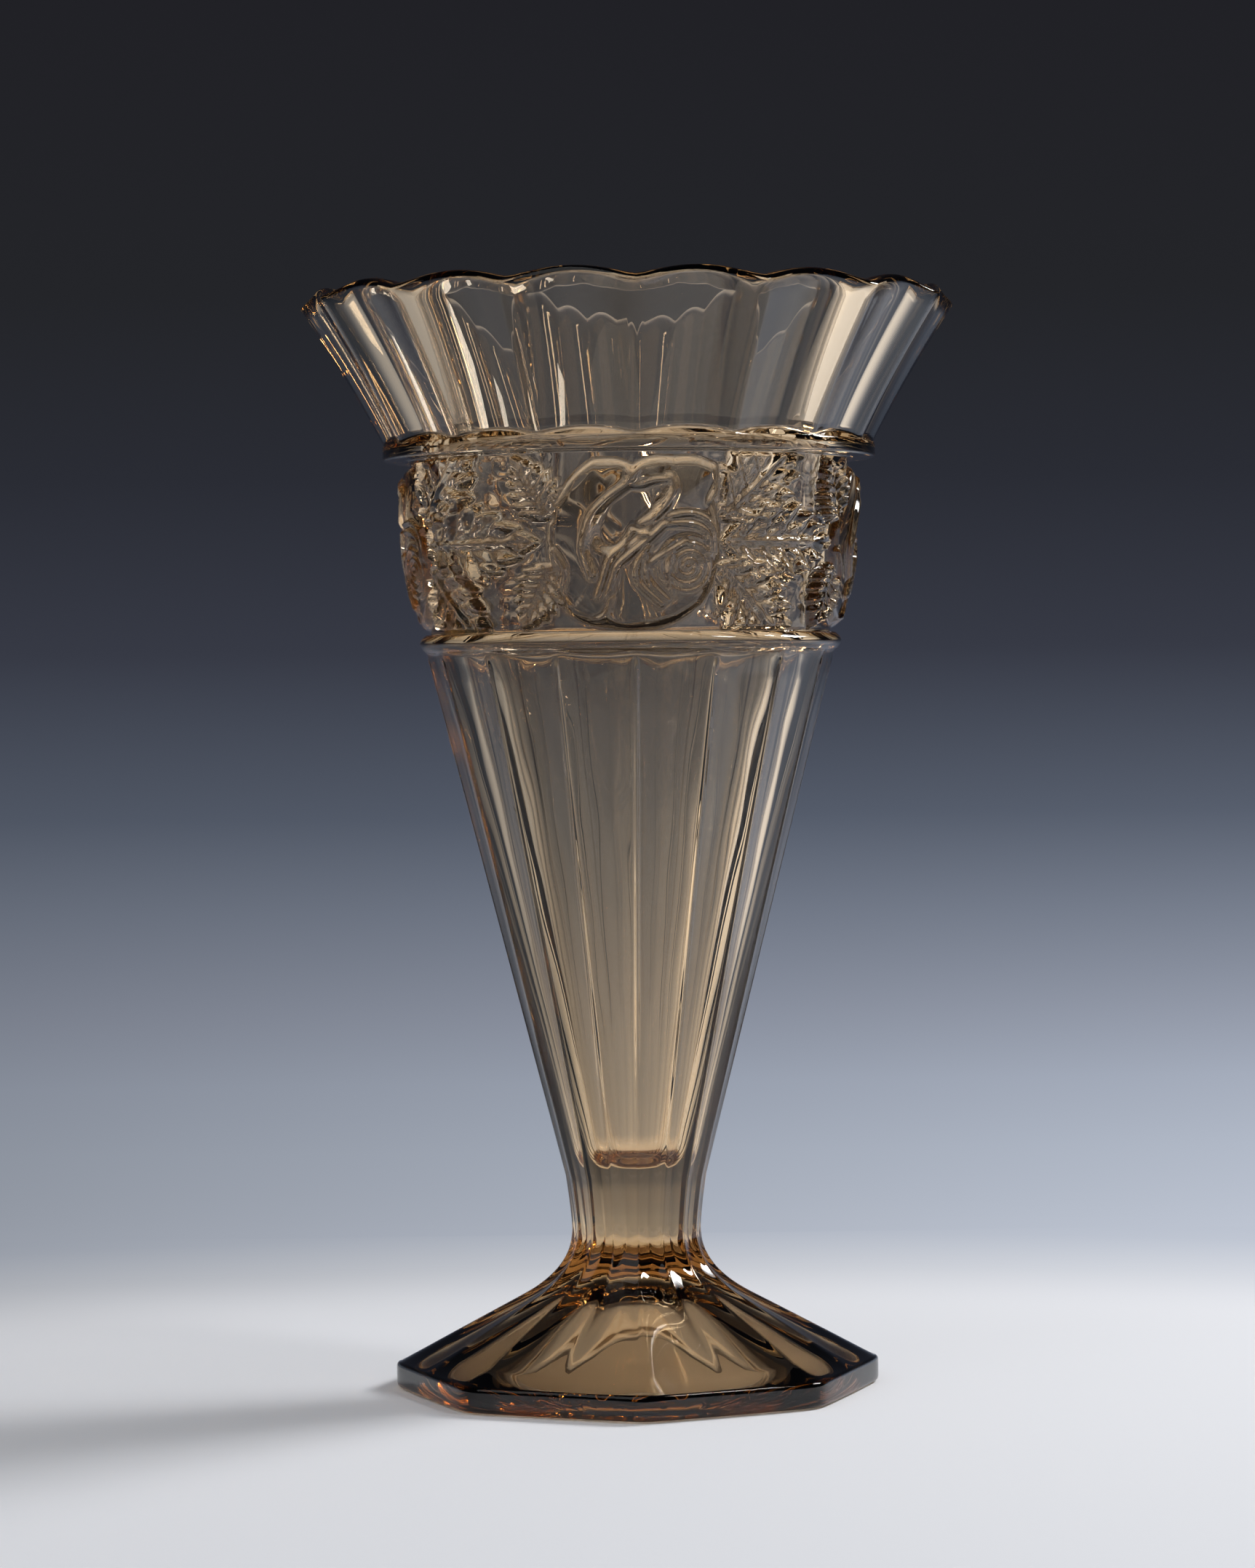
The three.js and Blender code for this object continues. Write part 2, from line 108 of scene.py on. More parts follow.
def spaced(start: Row, end: Row, steps: int) -> Rows:
    """Rows along a straight line, from its start up to but without its end.

    Args:
        start: First radius and height.
        end: Last radius and height, which is left out.
        steps: How many rows to give.

    Returns:
        The rows.
    """
    shares = [step / steps for step in range(steps)]
    return [tuple(a + (b - a) * share for a, b in zip(start, end)) for share in shares]


def bent(start: Row, corner: Row, end: Row, steps: int) -> Rows:
    """Rows round a soft corner, from its start up to but without its end.

    Args:
        start: Where the bend begins.
        corner: Where the two straight lines would meet.
        end: Where the bend ends.
        steps: How many rows to give.

    Returns:
        The rows.
    """
    rows = []
    for step in range(steps):
        t = step / steps
        weights = ((1 - t) ** 2, 2 * t * (1 - t), t * t)
        points = zip(weights, (start, corner, end))
        rows.append(tuple(sum(pair) for pair in zip(*[(w * p[0], w * p[1]) for w, p in points])))
    return rows


class Section:
    """One section of the vase: a profile to spin, and the form that the mould presses it into."""

    node: ClassVar[Node]

    @property
    def bottom(self) -> float:
        """Height of the bottom of the CAD section."""
        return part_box(self.node.value)[0].z

    @property
    def top(self) -> float:
        """Height of the top of the CAD section."""
        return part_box(self.node.value)[1].z

    @property
    def reach(self) -> float:
        """Largest radius of the CAD section, where a ridge points along +X."""
        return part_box(self.node.value)[1].x

    def profile(self) -> Rows:
        """Rows of radius and height, in order along the skin."""
        raise NotImplementedError

    def press(self, angle: Array, radius: Array, height: Array) -> Pair:
        """Leaves the section round, unless its mould has a form of its own.

        Args:
            angle: Angles round the vase, from -Y towards +X, not used by a round section.
            radius: Radii of the round section.
            height: Heights of the round section.

        Returns:
            The pressed radii and heights.
        """
        return radius, height


@dataclass(frozen=True)
class Panels:
    """The sixteen panels that run from foot to rim, and how they shape a round section."""

    count: int = 16
    hollow: float = 1.1 * MM / MOUTH_RADIUS
    ridge_softness: float = 0.3 * MM / MOUTH_RADIUS
    arch_sharpness: float = 1.3

    @property
    def pitch(self) -> float:
        """Angle from one ridge to the next."""
        return TURN / self.count

    def from_middle(self, angle: Array) -> Array:
        """Angle from the middle of the panel, from -1 at one ridge to 1 at the next."""
        return 2 * np.mod(angle / self.pitch, 1) - 1

    def share(self, angle: Array, hollow: Lengths | None = None) -> Array:
        """Radius of flat, slightly hollow panels with softened ridges.

        Args:
            angle: Angles round the vase.
            hollow: Depth of the hollow as a share of the radius, if not the usual one.

        Returns:
            The radius as a share of the radius at a sharp ridge.
        """
        depth = self.hollow if hollow is None else hollow
        half = self.pitch / 2
        to_ridge = half * (1 - np.abs(self.from_middle(angle)))
        side = half - np.sqrt(to_ridge**2 + self.ridge_softness**2)
        flat = math.cos(half) / np.cos(side)
        return flat - depth * (1 - (side / half) ** 2)

    def arch(self, angle: Array) -> Array:
        """Arched top of a panel, from 0 at its ridges to 1 in its middle."""
        return (1 - self.from_middle(angle) ** 2) ** self.arch_sharpness


@dataclass
class Foot(Section):
    """Octagonal slab with a slope that sweeps up into the waist."""

    node = Node.FOOT
    panels: Panels
    waist_radius: float = 14.2 * MM
    edge_height: float = 5.6 * MM
    edge_round: float = 1.1 * MM
    rest_width: float = 5.5 * MM
    rest_height: float = 0.1 * MM
    sweep_rise: float = 8.4 * MM
    sweep_round: float = 12.5 * MM
    slope_hollow: float = 0.5 * MM
    slope_blend: float = 2 * MM
    corner_softness: float = 0.045
    corner_guard: float = 1e-9
    edge_rows: int = 3
    slope_rows: int = 5
    fillet_rows: int = 20

    @property
    def rest_radius(self) -> float:
        """Radius of the inner edge of the flat ring that the foot rests on."""
        return self.reach * math.cos(self.panels.pitch) - self.rest_width

    def profile(self) -> Rows:
        """Rows from the inner edge of the rest to the waist."""
        soft = self.edge_round
        rest_end = (self.reach - soft, 0)
        slab_low = (self.reach, soft)
        slab_high = (self.reach, self.edge_height - soft)
        edge = (self.reach - soft, self.edge_height)
        corner = (self.waist_radius, self.top - self.sweep_rise)
        run = Vector(edge) - Vector(corner)
        sweep = tuple(Vector(corner) + run.normalized() * self.sweep_round)
        return [
            (self.rest_radius, 0),
            *bent(rest_end, (self.reach, 0), slab_low, self.edge_rows),
            slab_low,
            *bent(slab_high, (self.reach, self.edge_height), edge, self.edge_rows),
            *spaced(edge, sweep, self.slope_rows),
            *bent(sweep, corner, (self.waist_radius, self.top), self.fillet_rows),
        ]

    def press(self, angle: Array, radius: Array, height: Array) -> Pair:
        """Presses the round foot into sixteen sides that become eight at the slab."""
        pitch = self.panels.pitch
        spread = np.clip((radius - self.waist_radius) / (self.reach - self.waist_radius), 0, 1)
        sunk = 1 + spread * (math.cos(pitch) - 1)
        turns = angle / pitch + self.corner_guard
        even = np.mod(np.floor(turns), 2) == 0
        first = np.where(even, 1, sunk)
        last = np.where(even, sunk, 1)
        along = np.mod(turns, 1) * pitch
        to_corner = np.where(even, along, pitch - along)
        softened = np.hypot(to_corner, self.corner_softness * spread)
        softened = softened * pitch / np.hypot(pitch, self.corner_softness * spread)
        along = np.where(even, softened, pitch - softened)
        sides = first * last * math.sin(pitch)
        sides = sides / (first * np.sin(along) + last * np.sin(pitch - along))
        on_top = smooth_step((height - self.edge_height) / self.slope_blend)
        dip = self.slope_hollow / np.maximum(radius, self.waist_radius) * self.panels.arch(angle)
        ring = np.clip((radius - self.rest_radius) / self.rest_width, 0, 1)
        outside = np.where(height > self.rest_height, 1, ring)
        return radius * (1 + outside * (sides - dip * on_top - 1)), height


@dataclass
class FootHollow(Section):
    """Hollow under the foot, a cone with a round crown inside the ring that it rests on."""

    foot: Foot
    depth: float = 18.5 * MM
    crown_radius: float = 9 * MM
    crown_flat: float = 3 * MM
    crown_end: float = 0.25
    crown_rows: int = 6
    flank_rows: int = 5

    def profile(self) -> Rows:
        """Rows from the crown of the hollow down to the rest."""
        crown = (self.crown_flat, self.depth)
        shoulder = (self.crown_radius, self.depth)
        flank = self.flank(self.crown_end)
        return [
            (0, self.depth),
            *bent(crown, shoulder, flank, self.crown_rows),
            *spaced(flank, (self.foot.rest_radius, 0.0), self.flank_rows),
        ]

    def flank(self, along: float) -> Row:
        """Place on the straight flank, from 0 at the crown to 1 at the rest."""
        run = self.foot.rest_radius - self.crown_radius
        return (self.crown_radius + run * along, self.depth * (1 - along))


@dataclass
class Stem(Section):
    """Solid stem, upright at the waist and leaning out where the bowl begins."""

    node = Node.STEM
    panels: Panels
    foot: Foot
    lean_start: float = 0.25
    drawn_in: float = 0.8 * MM
    rows: int = 7

    @property
    def radius(self) -> float:
        """Radius of the ridges where the bowl begins."""
        return self.reach - self.drawn_in

    def profile(self) -> Rows:
        """Rows from the waist to the bowl."""
        waist = self.foot.waist_radius
        lean = self.bottom + self.lean_start * (self.top - self.bottom)
        return bent((waist, self.bottom), (waist, lean), (self.radius, self.top), self.rows)

    def press(self, angle: Array, radius: Array, height: Array) -> Pair:
        """Presses the round stem into sixteen panels."""
        return radius * self.panels.share(angle), height


@dataclass
class Bowl(Section):
    """Straight panelled cone that ends in a thin round shoulder under the collar."""

    node = Node.BOWL
    panels: Panels
    stem: Stem
    mouth_radius: float = MOUTH_RADIUS
    shoulder_height: float = 2 * MM
    shoulder_softness: float = 0.2 * MM
    shoulder_slope: float = 2.2
    hollow_fade: float = 12 * MM
    hollow_left: float = 0.3
    cone_rows: int = 8
    shoulder_rows: int = 9

    @property
    def slope(self) -> float:
        """How fast the cone's ridges lean out."""
        return (self.mouth_radius - self.stem.radius) / (self.top - self.stem.top)

    def profile(self) -> Rows:
        """Rows from the stem to the shoulder's top."""
        height = self.top - self.shoulder_height
        low = (self.stem.radius + self.slope * (height - self.stem.top), height)
        return [
            *spaced((self.stem.radius, self.stem.top), low, self.cone_rows),
            *spaced(low, (self.mouth_radius, self.top), self.shoulder_rows),
        ]

    def press(self, angle: Array, radius: Array, height: Array) -> Pair:
        """Presses the cone into panels, and keeps the shoulder round above them."""
        down = self.top - height
        left = self.hollow_left + (1 - self.hollow_left) * smooth_step(down / self.hollow_fade)
        panel = radius * self.panels.share(angle, self.panels.hollow * left)
        shoulder = self.reach - down * self.shoulder_slope
        soft = self.shoulder_softness * smooth_step(1 - down / self.shoulder_height)
        return smooth_max(panel, shoulder, soft), height


@dataclass
class LowerCollar(Section):
    """Half-round bead under the frieze."""

    node = Node.LOWER_COLLAR
    bowl: Bowl
    steps: int = 8

    def profile(self) -> Rows:
        """Rows over the bead, from the shoulder to the frieze."""
        low, high = self.bowl.reach, self.bowl.mouth_radius
        swell = self.reach - (low + high) / 2
        rows = []
        for step in range(self.steps + 1):
            share = step / self.steps
            radius = low * (1 - share) + high * share + swell * math.sin(math.pi * share)
            rows.append((radius, self.bottom + (self.top - self.bottom) * share))
        return rows


def smooth_line(knots: Rows, scale: float, steps: int = 5) -> Array:
    """A soft line through a few points.

    Args:
        knots: The points, in radii of the rose.
        scale: Radius of the rose.
        steps: Pieces between two points.

    Returns:
        Points of the line, one per row.
    """
    given = np.array(knots) * scale
    ends = np.vstack([2 * given[0] - given[1], given, 2 * given[-1] - given[-2]])
    points = []
    for a, b, c, d in zip(ends[:-3], ends[1:-2], ends[2:-1], ends[3:]):
        for step in range(steps):
            t = step / steps
            points.append(
                0.5 * (2 * b + (c - a) * t + (2 * a - 5 * b + 4 * c - d) * t**2)
                + 0.5 * (3 * b - a - 3 * c + d) * t**3
            )
    return np.array([*points, given[-1]])


def distance_to(line: Array, points: Array) -> Array:
    """Distance from points to a line of short straight pieces."""
    least = np.full(len(points), np.inf)
    for start, end in zip(line[:-1], line[1:]):
        run = end - start
        along = np.clip(((points - start) @ run) / (run @ run), 0, 1)
        least = np.minimum(least, np.linalg.norm(points - start - along[:, None] * run, axis=1))
    return least


def turned(points: Array, turn: float) -> Pair:
    """Places along and across a direction.

    Args:
        points: Places across and up.
        turn: Angle of the direction.

    Returns:
        How far each place lies along the direction and across it.
    """
    cosine, sine = math.cos(turn), math.sin(turn)
    along = points[:, 0] * cosine + points[:, 1] * sine
    return along, points[:, 1] * cosine - points[:, 0] * sine


@dataclass(frozen=True)
class PetalRim:
    """One raised line of the rose: its course in radii of the rose, its width and its rise."""

    course: Rows
    width: float
    rise: float


BROAD = 0.65 * MM
FINE = 0.5 * MM
TALL = 1.3 * MM
LOW = 0.95 * MM

OUTER_LEFT = [
    (-0.06, 0.88), (-0.2, 0.95), (-0.35, 0.97), (-0.49, 0.93), (-0.69, 0.75), (-0.88, 0.55), (-1, 0.32),
]
OUTER_TOP = [
    (-0.04, 0.72), (0.01, 0.85), (0.1, 0.95), (0.25, 0.98),
    (0.74, 0.98), (0.92, 0.9), (0.98, 0.72), (0.86, 0.46),
]
LONG_FOLD = [
    (-0.06, 0.88), (-0.08, 0.68), (-0.3, 0.5), (-0.47, 0.32), (-0.56, 0.09), (-0.58, -0.12), (-0.5, -0.4),
]
LOW_FOLD = [(0.32, 0.19), (0.14, 0.01), (-0.07, -0.17), (-0.21, -0.31), (-0.26, -0.46), (-0.32, -0.62)]
LEFT_EDGE = [(-1, 0.2), (-1.05, -0.05), (-1, -0.27), (-0.95, -0.5), (-0.89, -0.76), (-0.6, -0.97)]
LOW_EDGE = [(-0.33, -0.84), (-0.24, -0.98), (0.05, -1.02), (0.4, -0.98), (0.75, -0.8), (1, -0.4)]

PETAL_RIMS = [
    PetalRim(OUTER_LEFT, BROAD, TALL),
    PetalRim(LEFT_EDGE, FINE, TALL),
    PetalRim([(-0.97, -0.1), (-0.87, -0.25), (-0.84, -0.4), (-0.89, -0.6), (-0.8, -0.78)], FINE, LOW),
    PetalRim(OUTER_TOP, BROAD, TALL),
    PetalRim(LONG_FOLD, BROAD, TALL),
    PetalRim([(-0.06, 0.66), (0.07, 0.66), (0.21, 0.71), (0.36, 0.72)], FINE, LOW),
    PetalRim([(0.38, 0.75), (0.42, 0.64), (0.38, 0.49), (0.27, 0.34), (0.08, 0.2)], BROAD, TALL),
    PetalRim([(-0.04, 0.12), (0.13, 0.06)], FINE, TALL),
    PetalRim([(-0.04, 0.1), (-0.12, -0.02), (-0.28, -0.2), (-0.35, -0.4), (-0.44, -0.66)], FINE, TALL),
    PetalRim(LOW_FOLD, FINE, TALL),
    PetalRim([(0.12, -0.09), (0.02, -0.28), (0.01, -0.43), (0.07, -0.55), (0.3, -0.76)], FINE, TALL),
    PetalRim([(0.12, -0.17), (0.12, -0.37), (0.18, -0.53), (0.36, -0.71)], FINE, LOW),
    PetalRim([(0.38, 0.28), (0.52, 0.31), (0.67, 0.31), (0.82, 0.24), (0.92, 0.1), (0.95, -0.15)], FINE, LOW),
    PetalRim([(0.37, 0.19), (0.54, 0.2), (0.71, 0.17), (0.84, 0.07), (0.88, -0.15)], FINE, LOW),
    PetalRim([(0.15, -0.28), (0.31, -0.17), (0.57, -0.01)], FINE, LOW),
    PetalRim([(0.42, -0.15), (0.38, -0.31), (0.38, -0.48), (0.42, -0.6)], FINE, LOW),
    PetalRim([(-0.6, -0.97), (-0.42, -0.92), (-0.33, -0.82), (-0.28, -0.68)], FINE, LOW),
    PetalRim(LOW_EDGE, FINE, LOW),
]

ROSE_OUTLINE = [
    (0, 1.02), (17, 1.01), (26, 1.0), (33, 1.16), (43, 1.29), (54, 1.2), (65, 1.07), (80, 0.98),
    (92, 0.88), (102, 0.97), (117, 1.06), (145, 1.03), (155, 1.05), (173, 1.04), (205, 1.07),
    (224, 1.18), (240, 1.12), (253, 1.04), (276, 1.02), (298, 1.06), (317, 1.09), (338, 1.05),
]


@dataclass(frozen=True)
class Rose:
    """Open rose in relief: a soft dome, raised petal rims, a hollow cup and a curled heart."""

    radius: float
    edge_rise: float = 1.5 * MM
    dome_rise: float = 1.7 * MM
    side: float = 2.2 * MM
    cup_middle: Row = (-0.1, 0.3)
    cup_long: float = 0.5
    cup_short: float = 0.27
    cup_turn: float = math.radians(52)
    cup_edge: float = 1.1
    cup_blend: float = 0.3
    cup_floor: float = 1.6 * MM
    heart_middle: Row = (0.6, -0.3)
    heart_pitch: float = 0.095
    heart_reach: float = 0.42
    heart_blend: float = 0.15
    heart_rise: float = 0.7 * MM

    def cup(self, points: Array) -> Array:
        """Share of the flat-floored cup of the rose, 1 inside it."""
        along, across = turned(points / self.radius - np.array(self.cup_middle), self.cup_turn)
        reach = np.hypot(along / self.cup_long, across / self.cup_short)
        return smooth_step((self.cup_edge - reach) / self.cup_blend)

    def heart(self, points: Array) -> Array:
        """Rise of the curled petals round the heart, a spiral of fine ridges."""
        away = points / self.radius - np.array(self.heart_middle)
        reach = np.hypot(away[:, 0], away[:, 1])
        angle = np.arctan2(away[:, 1], away[:, 0])
        phase = reach / self.heart_pitch + angle / TURN
        ridge = 0.5 + 0.5 * np.cos(TURN * phase)
        return self.heart_rise * ridge * smooth_step((self.heart_reach - reach) / self.heart_blend)

    def height(self, points: Array) -> Array:
        """Rise of the rose over the band.

        Args:
            points: Places on the band, across and up from the middle of the rose.

        Returns:
            The rise at each place, 0 outside the rose.
        """
        reach = np.linalg.norm(points, axis=1)
        turn = np.degrees(np.arctan2(points[:, 1], points[:, 0])) % 360
        degrees, shares = zip(*ROSE_OUTLINE)
        outline = np.interp(turn, degrees, shares, period=360) * self.radius + BROAD
        rims = np.zeros(len(points))
        for rim in PETAL_RIMS:
            gap = distance_to(smooth_line(rim.course, self.radius), points)
            rims = np.maximum(rims, rim.rise * np.exp(-((gap / rim.width) ** 2)))
        dome = self.edge_rise + self.dome_rise * np.clip(1 - (reach / outline) ** 2, 0, 1)
        cup = self.cup(points)
        body = dome * (1 - cup) + self.cup_floor * cup + np.maximum(rims, self.heart(points))
        return body * smooth_step((outline - reach) / self.side)


@dataclass(frozen=True)
class Leaf:
    """Toothed leaf in relief: a blade folded on its midrib, with side veins and a raised margin."""

    root: Row
    turn: float
    length: float
    width: float = 17 * MM
    rise: float = 1.7 * MM
    side: float = 0.9 * MM
    fold: float = 1.0 * MM
    belly: float = 0.8
    teeth: int = 7
    tooth_depth: float = 0.16
    least_half: float = 0.001 * MM
    vein_lean: float = 1.3
    cell_rise: float = 1.5 * MM
    grain_pitch: float = math.radians(8)
    grain_rise: float = 0.15 * MM
    grain_start: float = 4 * MM
    grain_root: float = 0.1 * MM
    rib_rise: float = 1.0 * MM
    rib_width: float = 0.8 * MM
    margin_rise: float = 1.1 * MM
    margin_start: float = 0.6
    margin_blend: float = 0.12

    def grain(self, run: Array, across: Array) -> Array:
        """Rise of the fine lines that fan out from the leaf's root."""
        fan = np.arctan2(across, np.maximum(run, self.grain_root))
        grown = smooth_step((np.hypot(across, run) - self.grain_start) / self.grain_start)
        return self.grain_rise * np.cos(TURN * fan / self.grain_pitch) * grown

    def height(self, points: Array) -> Array:
        """Rise of the leaf over the band.

        Args:
            points: Places on the band, across and up from the middle of the rose.

        Returns:
            The rise at each place, 0 outside the leaf.
        """
        along, aside = turned(points - np.array(self.root), self.turn)
        along = along / self.length
        across = np.abs(aside)
        run = np.clip(along, 0, 1)
        half = self.width / 2 * np.sin(math.pi * run**self.belly)
        tooth = np.mod(run * self.teeth, 1) - 0.5
        edge = np.maximum(half * (1 + self.tooth_depth * 2 * tooth), self.least_half)
        share = np.clip(across / edge, 0, 1)
        phase = np.mod(run * self.teeth - share * self.vein_lean, 1)
        cells = self.cell_rise * (1 - (2 * phase - 1) ** 2) * np.sqrt(share)
        rib = self.rib_rise * np.exp(-((across / self.rib_width) ** 2))
        on_margin = smooth_step((share - self.margin_start) / self.margin_blend)
        margin = self.margin_rise * (0.5 - tooth) * on_margin
        blade = self.rise - self.fold * (1 - share) + cells + rib + margin
        blade = blade + self.grain(run * self.length, across)
        on_blade = (along > 0) & (along < 1)
        return np.where(on_blade, blade * smooth_step((edge - across) / self.side), 0)


@dataclass
class Frieze(Section):
    """Tapering band with four roses, and a spray of five leaves between each two."""

    node = Node.FRIEZE_1
    bowl: Bowl
    set_back: float = 1.2 * MM
    taper: float = 4.3 * MM
    edge_fade: float = 1.2 * MM
    roses: int = 4
    rose_margin: float = 1.4 * MM
    leaf_gap: float = 0.5 * MM
    leaf_step: float = 4.5 * MM
    leaf_spread: float = math.radians(45)
    leaf_longest: float = 34 * MM
    leaf_long: float = 28 * MM
    leaf_short: float = 16 * MM
    corner_spread: float = math.radians(62)
    corner_width: float = 11 * MM
    rows: int = 32

    @property
    def low_radius(self) -> float:
        """Radius of the band over the lower collar."""
        return self.bowl.mouth_radius - self.set_back

    @property
    def high_radius(self) -> float:
        """Radius of the band under the ledge."""
        return self.low_radius + self.taper

    @property
    def middle_radius(self) -> float:
        """Radius half way up, on which places along the band are measured."""
        return self.low_radius + self.taper / 2

    @property
    def quarter(self) -> float:
        """Angle from one rose to the next."""
        return TURN / self.roses

    def leaves(self, rose: Rose) -> list[Leaf]:
        """The spray on the left of a rose: three leaves from the next rose and two from this one.

        Args:
            rose: The rose in the middle of the quarter.

        Returns:
            The leaves, placed from the middle of the rose.
        """
        left = rose.radius + self.leaf_gap - self.middle_radius * self.quarter
        right = -rose.radius - self.leaf_gap
        spray = [Leaf((left, 0), 0, self.leaf_longest)]
        for up in (1, -1):
            root = up * self.leaf_step
            corner_turn = math.pi - up * self.corner_spread
            spray.append(Leaf((left, root), up * self.leaf_spread, self.leaf_long))
            spray.append(Leaf((right, root), corner_turn, self.leaf_short, self.corner_width))
        return spray

    def profile(self) -> Rows:
        """Rows up the band, from the lower collar to the ledge."""
        return spaced((self.low_radius, self.bottom), (self.high_radius, self.top), self.rows)

    def press(self, angle: Array, radius: Array, height: Array) -> Pair:
        """Raises the roses and leaves on the round band."""
        seam = self.bowl.panels.pitch
        from_seam = np.mod(angle - seam, self.quarter)
        across = (from_seam + seam - self.quarter) * self.middle_radius
        points = np.column_stack([across, height - (self.bottom + self.top) / 2])
        rose = Rose((self.top - self.bottom) / 2 - self.rose_margin)
        rise = rose.height(points)
        for leaf in self.leaves(rose):
            rise = np.maximum(rise, leaf.height(points))
        edge = np.minimum(height - self.bottom, self.top - height) / self.edge_fade
        return radius + rise * smooth_step(edge), height


@dataclass
class UpperCollar(Section):
    """Ledge that stands out over the frieze, with a soft lower edge."""

    node = Node.UPPER_COLLAR
    frieze: Frieze
    soft: float = 0.6 * MM
    under_rows: int = 3
    edge_rows: int = 3
    side_rows: int = 2

    def profile(self) -> Rows:
        """Rows from under the ledge to its upper edge."""
        under = (self.frieze.high_radius, self.bottom)
        low = (self.reach - self.soft, self.bottom)
        high = (self.reach, self.bottom + self.soft)
        return [
            *spaced(under, low, self.under_rows),
            *bent(low, (self.reach, self.bottom), high, self.edge_rows),
            *spaced(high, (self.reach, self.top), self.side_rows),
        ]


@dataclass
class Hollow(Section):
    """Smooth inside of the bowl, down to its rounded floor, and the line of the neck above it."""

    bowl: Bowl
    frieze: Frieze
    wall: float = 7.5 * MM
    band_wall: float = 4.6 * MM
    floor_thickness: float = 3 * MM
    base_radius: float = 7.9 * MM
    corner: float = 5.6 * MM
    wall_rows: int = 8
    corner_rows: int = 8
    floor_rows: int = 2

    @property
    def mouth_radius(self) -> float:
        """Radius of the hollow at the top of the bowl."""
        return self.bowl.mouth_radius - self.wall

    def neck_line(self, height: Lengths) -> Lengths:
        """Radius of the straight neck behind the frieze at a height."""
        head = self.frieze.high_radius - self.band_wall
        slope = (head - self.mouth_radius) / (self.frieze.top - self.bowl.top)
        return self.mouth_radius + slope * (height - self.bowl.top)

    def profile(self) -> Rows:
        """Rows from the top of the bowl down to the middle of the floor."""
        floor = self.bowl.stem.top + self.floor_thickness
        mouth = (self.mouth_radius, self.bowl.top)
        base = (self.base_radius, floor)
        run = Vector(mouth) - Vector(base)
        wall_foot = tuple(Vector(base) + run.normalized() * self.corner)
        floor_edge = (self.base_radius - self.corner, floor)
        return [
            *spaced(mouth, wall_foot, self.wall_rows),
            *bent(wall_foot, base, floor_edge, self.corner_rows),
            *spaced(floor_edge, (0, floor), self.floor_rows),
            (0, floor),
        ]


@dataclass
class Lip(Section):
    """Sixteen flaring panels with arched tops and a rounded, scalloped rim."""

    node = Node.LIP
    panels: Panels
    ledge: UpperCollar
    hollow: Hollow
    set_back: float = 0.4 * MM
    start_slope: float = 0.52
    foot_wall: float = 7.6 * MM
    rim_wall: float = 8.6 * MM
    rim_round: float = 3.4 * MM
    foot_hollow: float = 1.2 * MM
    rim_hollow: float = 3.2 * MM
    neck_softness: float = 1.2 * MM
    lobe_rise: float = 1.9 * MM
    shoulder_height: float = 2.6 * MM
    shoulder_rows: int = 7
    flare_rows: int = 10
    rim_rows: int = 8
    inner_rows: int = 24
    rise: float = field(init=False)
    straight: float = field(init=False)
    start: float = field(init=False)
    bend: float = field(init=False)

    def __post_init__(self) -> None:
        """Takes the lip's size from the frame."""
        self.rise = self.top - self.bottom - self.lobe_rise
        self.straight = self.rise - self.rim_round / 2
        self.start = self.ledge.reach - self.set_back
        flare = self.reach - self.start - self.start_slope * self.straight
        self.bend = flare / self.straight**2

    def outer(self, rise: Lengths) -> Lengths:
        """Outer radius at the ridges, a flare that starts at a slope and ends at the rim."""
        return self.start + self.start_slope * rise + self.bend * rise**2

    def inner(self, rise: Lengths) -> Lengths:
        """Inner radius, a flare that runs softly into the neck below it."""
        wall = self.foot_wall + (self.rim_wall - self.foot_wall) * np.clip(rise / self.rise, 0, 1)
        neck = self.hollow.neck_line(self.bottom + rise)
        depth = self.bottom - self.hollow.bowl.top
        softness = self.neck_softness * np.clip(1 + rise / depth, 0, 1)
        return smooth_max(self.outer(rise) - wall, neck, softness)

    def profile(self) -> Rows:
        """Rows from the ledge up the outside, over the rim and down the inside to the bowl."""
        rises = [
            *np.linspace(0, self.shoulder_height, self.shoulder_rows, endpoint=False),
            *np.linspace(self.shoulder_height, self.straight, self.flare_rows + 1),
        ]
        outside = [(self.outer(rise), self.bottom + rise) for rise in rises]
        half = self.rim_round / 2
        middle = (self.outer(self.straight) + self.inner(self.straight)) / 2
        spread = (self.outer(self.straight) - self.inner(self.straight)) / 2
        rim = []
        for step in range(1, self.rim_rows):
            swing = math.pi * step / self.rim_rows
            height = self.bottom + self.straight + half * math.sin(swing)
            rim.append((middle + spread * math.cos(swing), height))
        bowl_top = self.hollow.bowl.top - self.bottom
        down = np.linspace(self.straight, bowl_top, self.inner_rows, endpoint=False)
        inside = [(self.inner(rise), self.bottom + rise) for rise in down]
        return outside + rim + inside

    def press(self, angle: Array, radius: Array, height: Array) -> Pair:
        """Presses the flare into panels and lifts the rim into lobes."""
        rise = height - self.bottom
        reach = np.clip(rise / self.rise, 0, 1)
        lift = self.lobe_rise * self.panels.arch(angle) * reach**2
        inside, outside = self.inner(rise), self.outer(rise)
        depth = np.clip((outside - radius) / (outside - inside), 0, 1)
        hollow = (self.foot_hollow + reach * (self.rim_hollow - self.foot_hollow)) / outside
        outside = self.outer(rise + lift) * self.panels.share(angle, hollow)
        moved = self.inner(rise + lift) * depth + outside * (1 - depth)
        shoulder = self.ledge.reach - rise
        on_ledge = np.where(depth < 0.5, np.maximum(moved, shoulder), moved)
        return on_ledge, height + lift


def set_up(name: str, data: bpy.types.ID) -> bpy.types.Object:
    """New object in the scene that shows a mesh, lamp or camera."""
    made = bpy.data.objects.new(name, data)
    bpy.context.collection.objects.link(made)
    return made


def new_material(name: str) -> bpy.types.Material:
    """New material with nodes."""
    made = bpy.data.materials.new(name)
    made.use_nodes = True
    return made


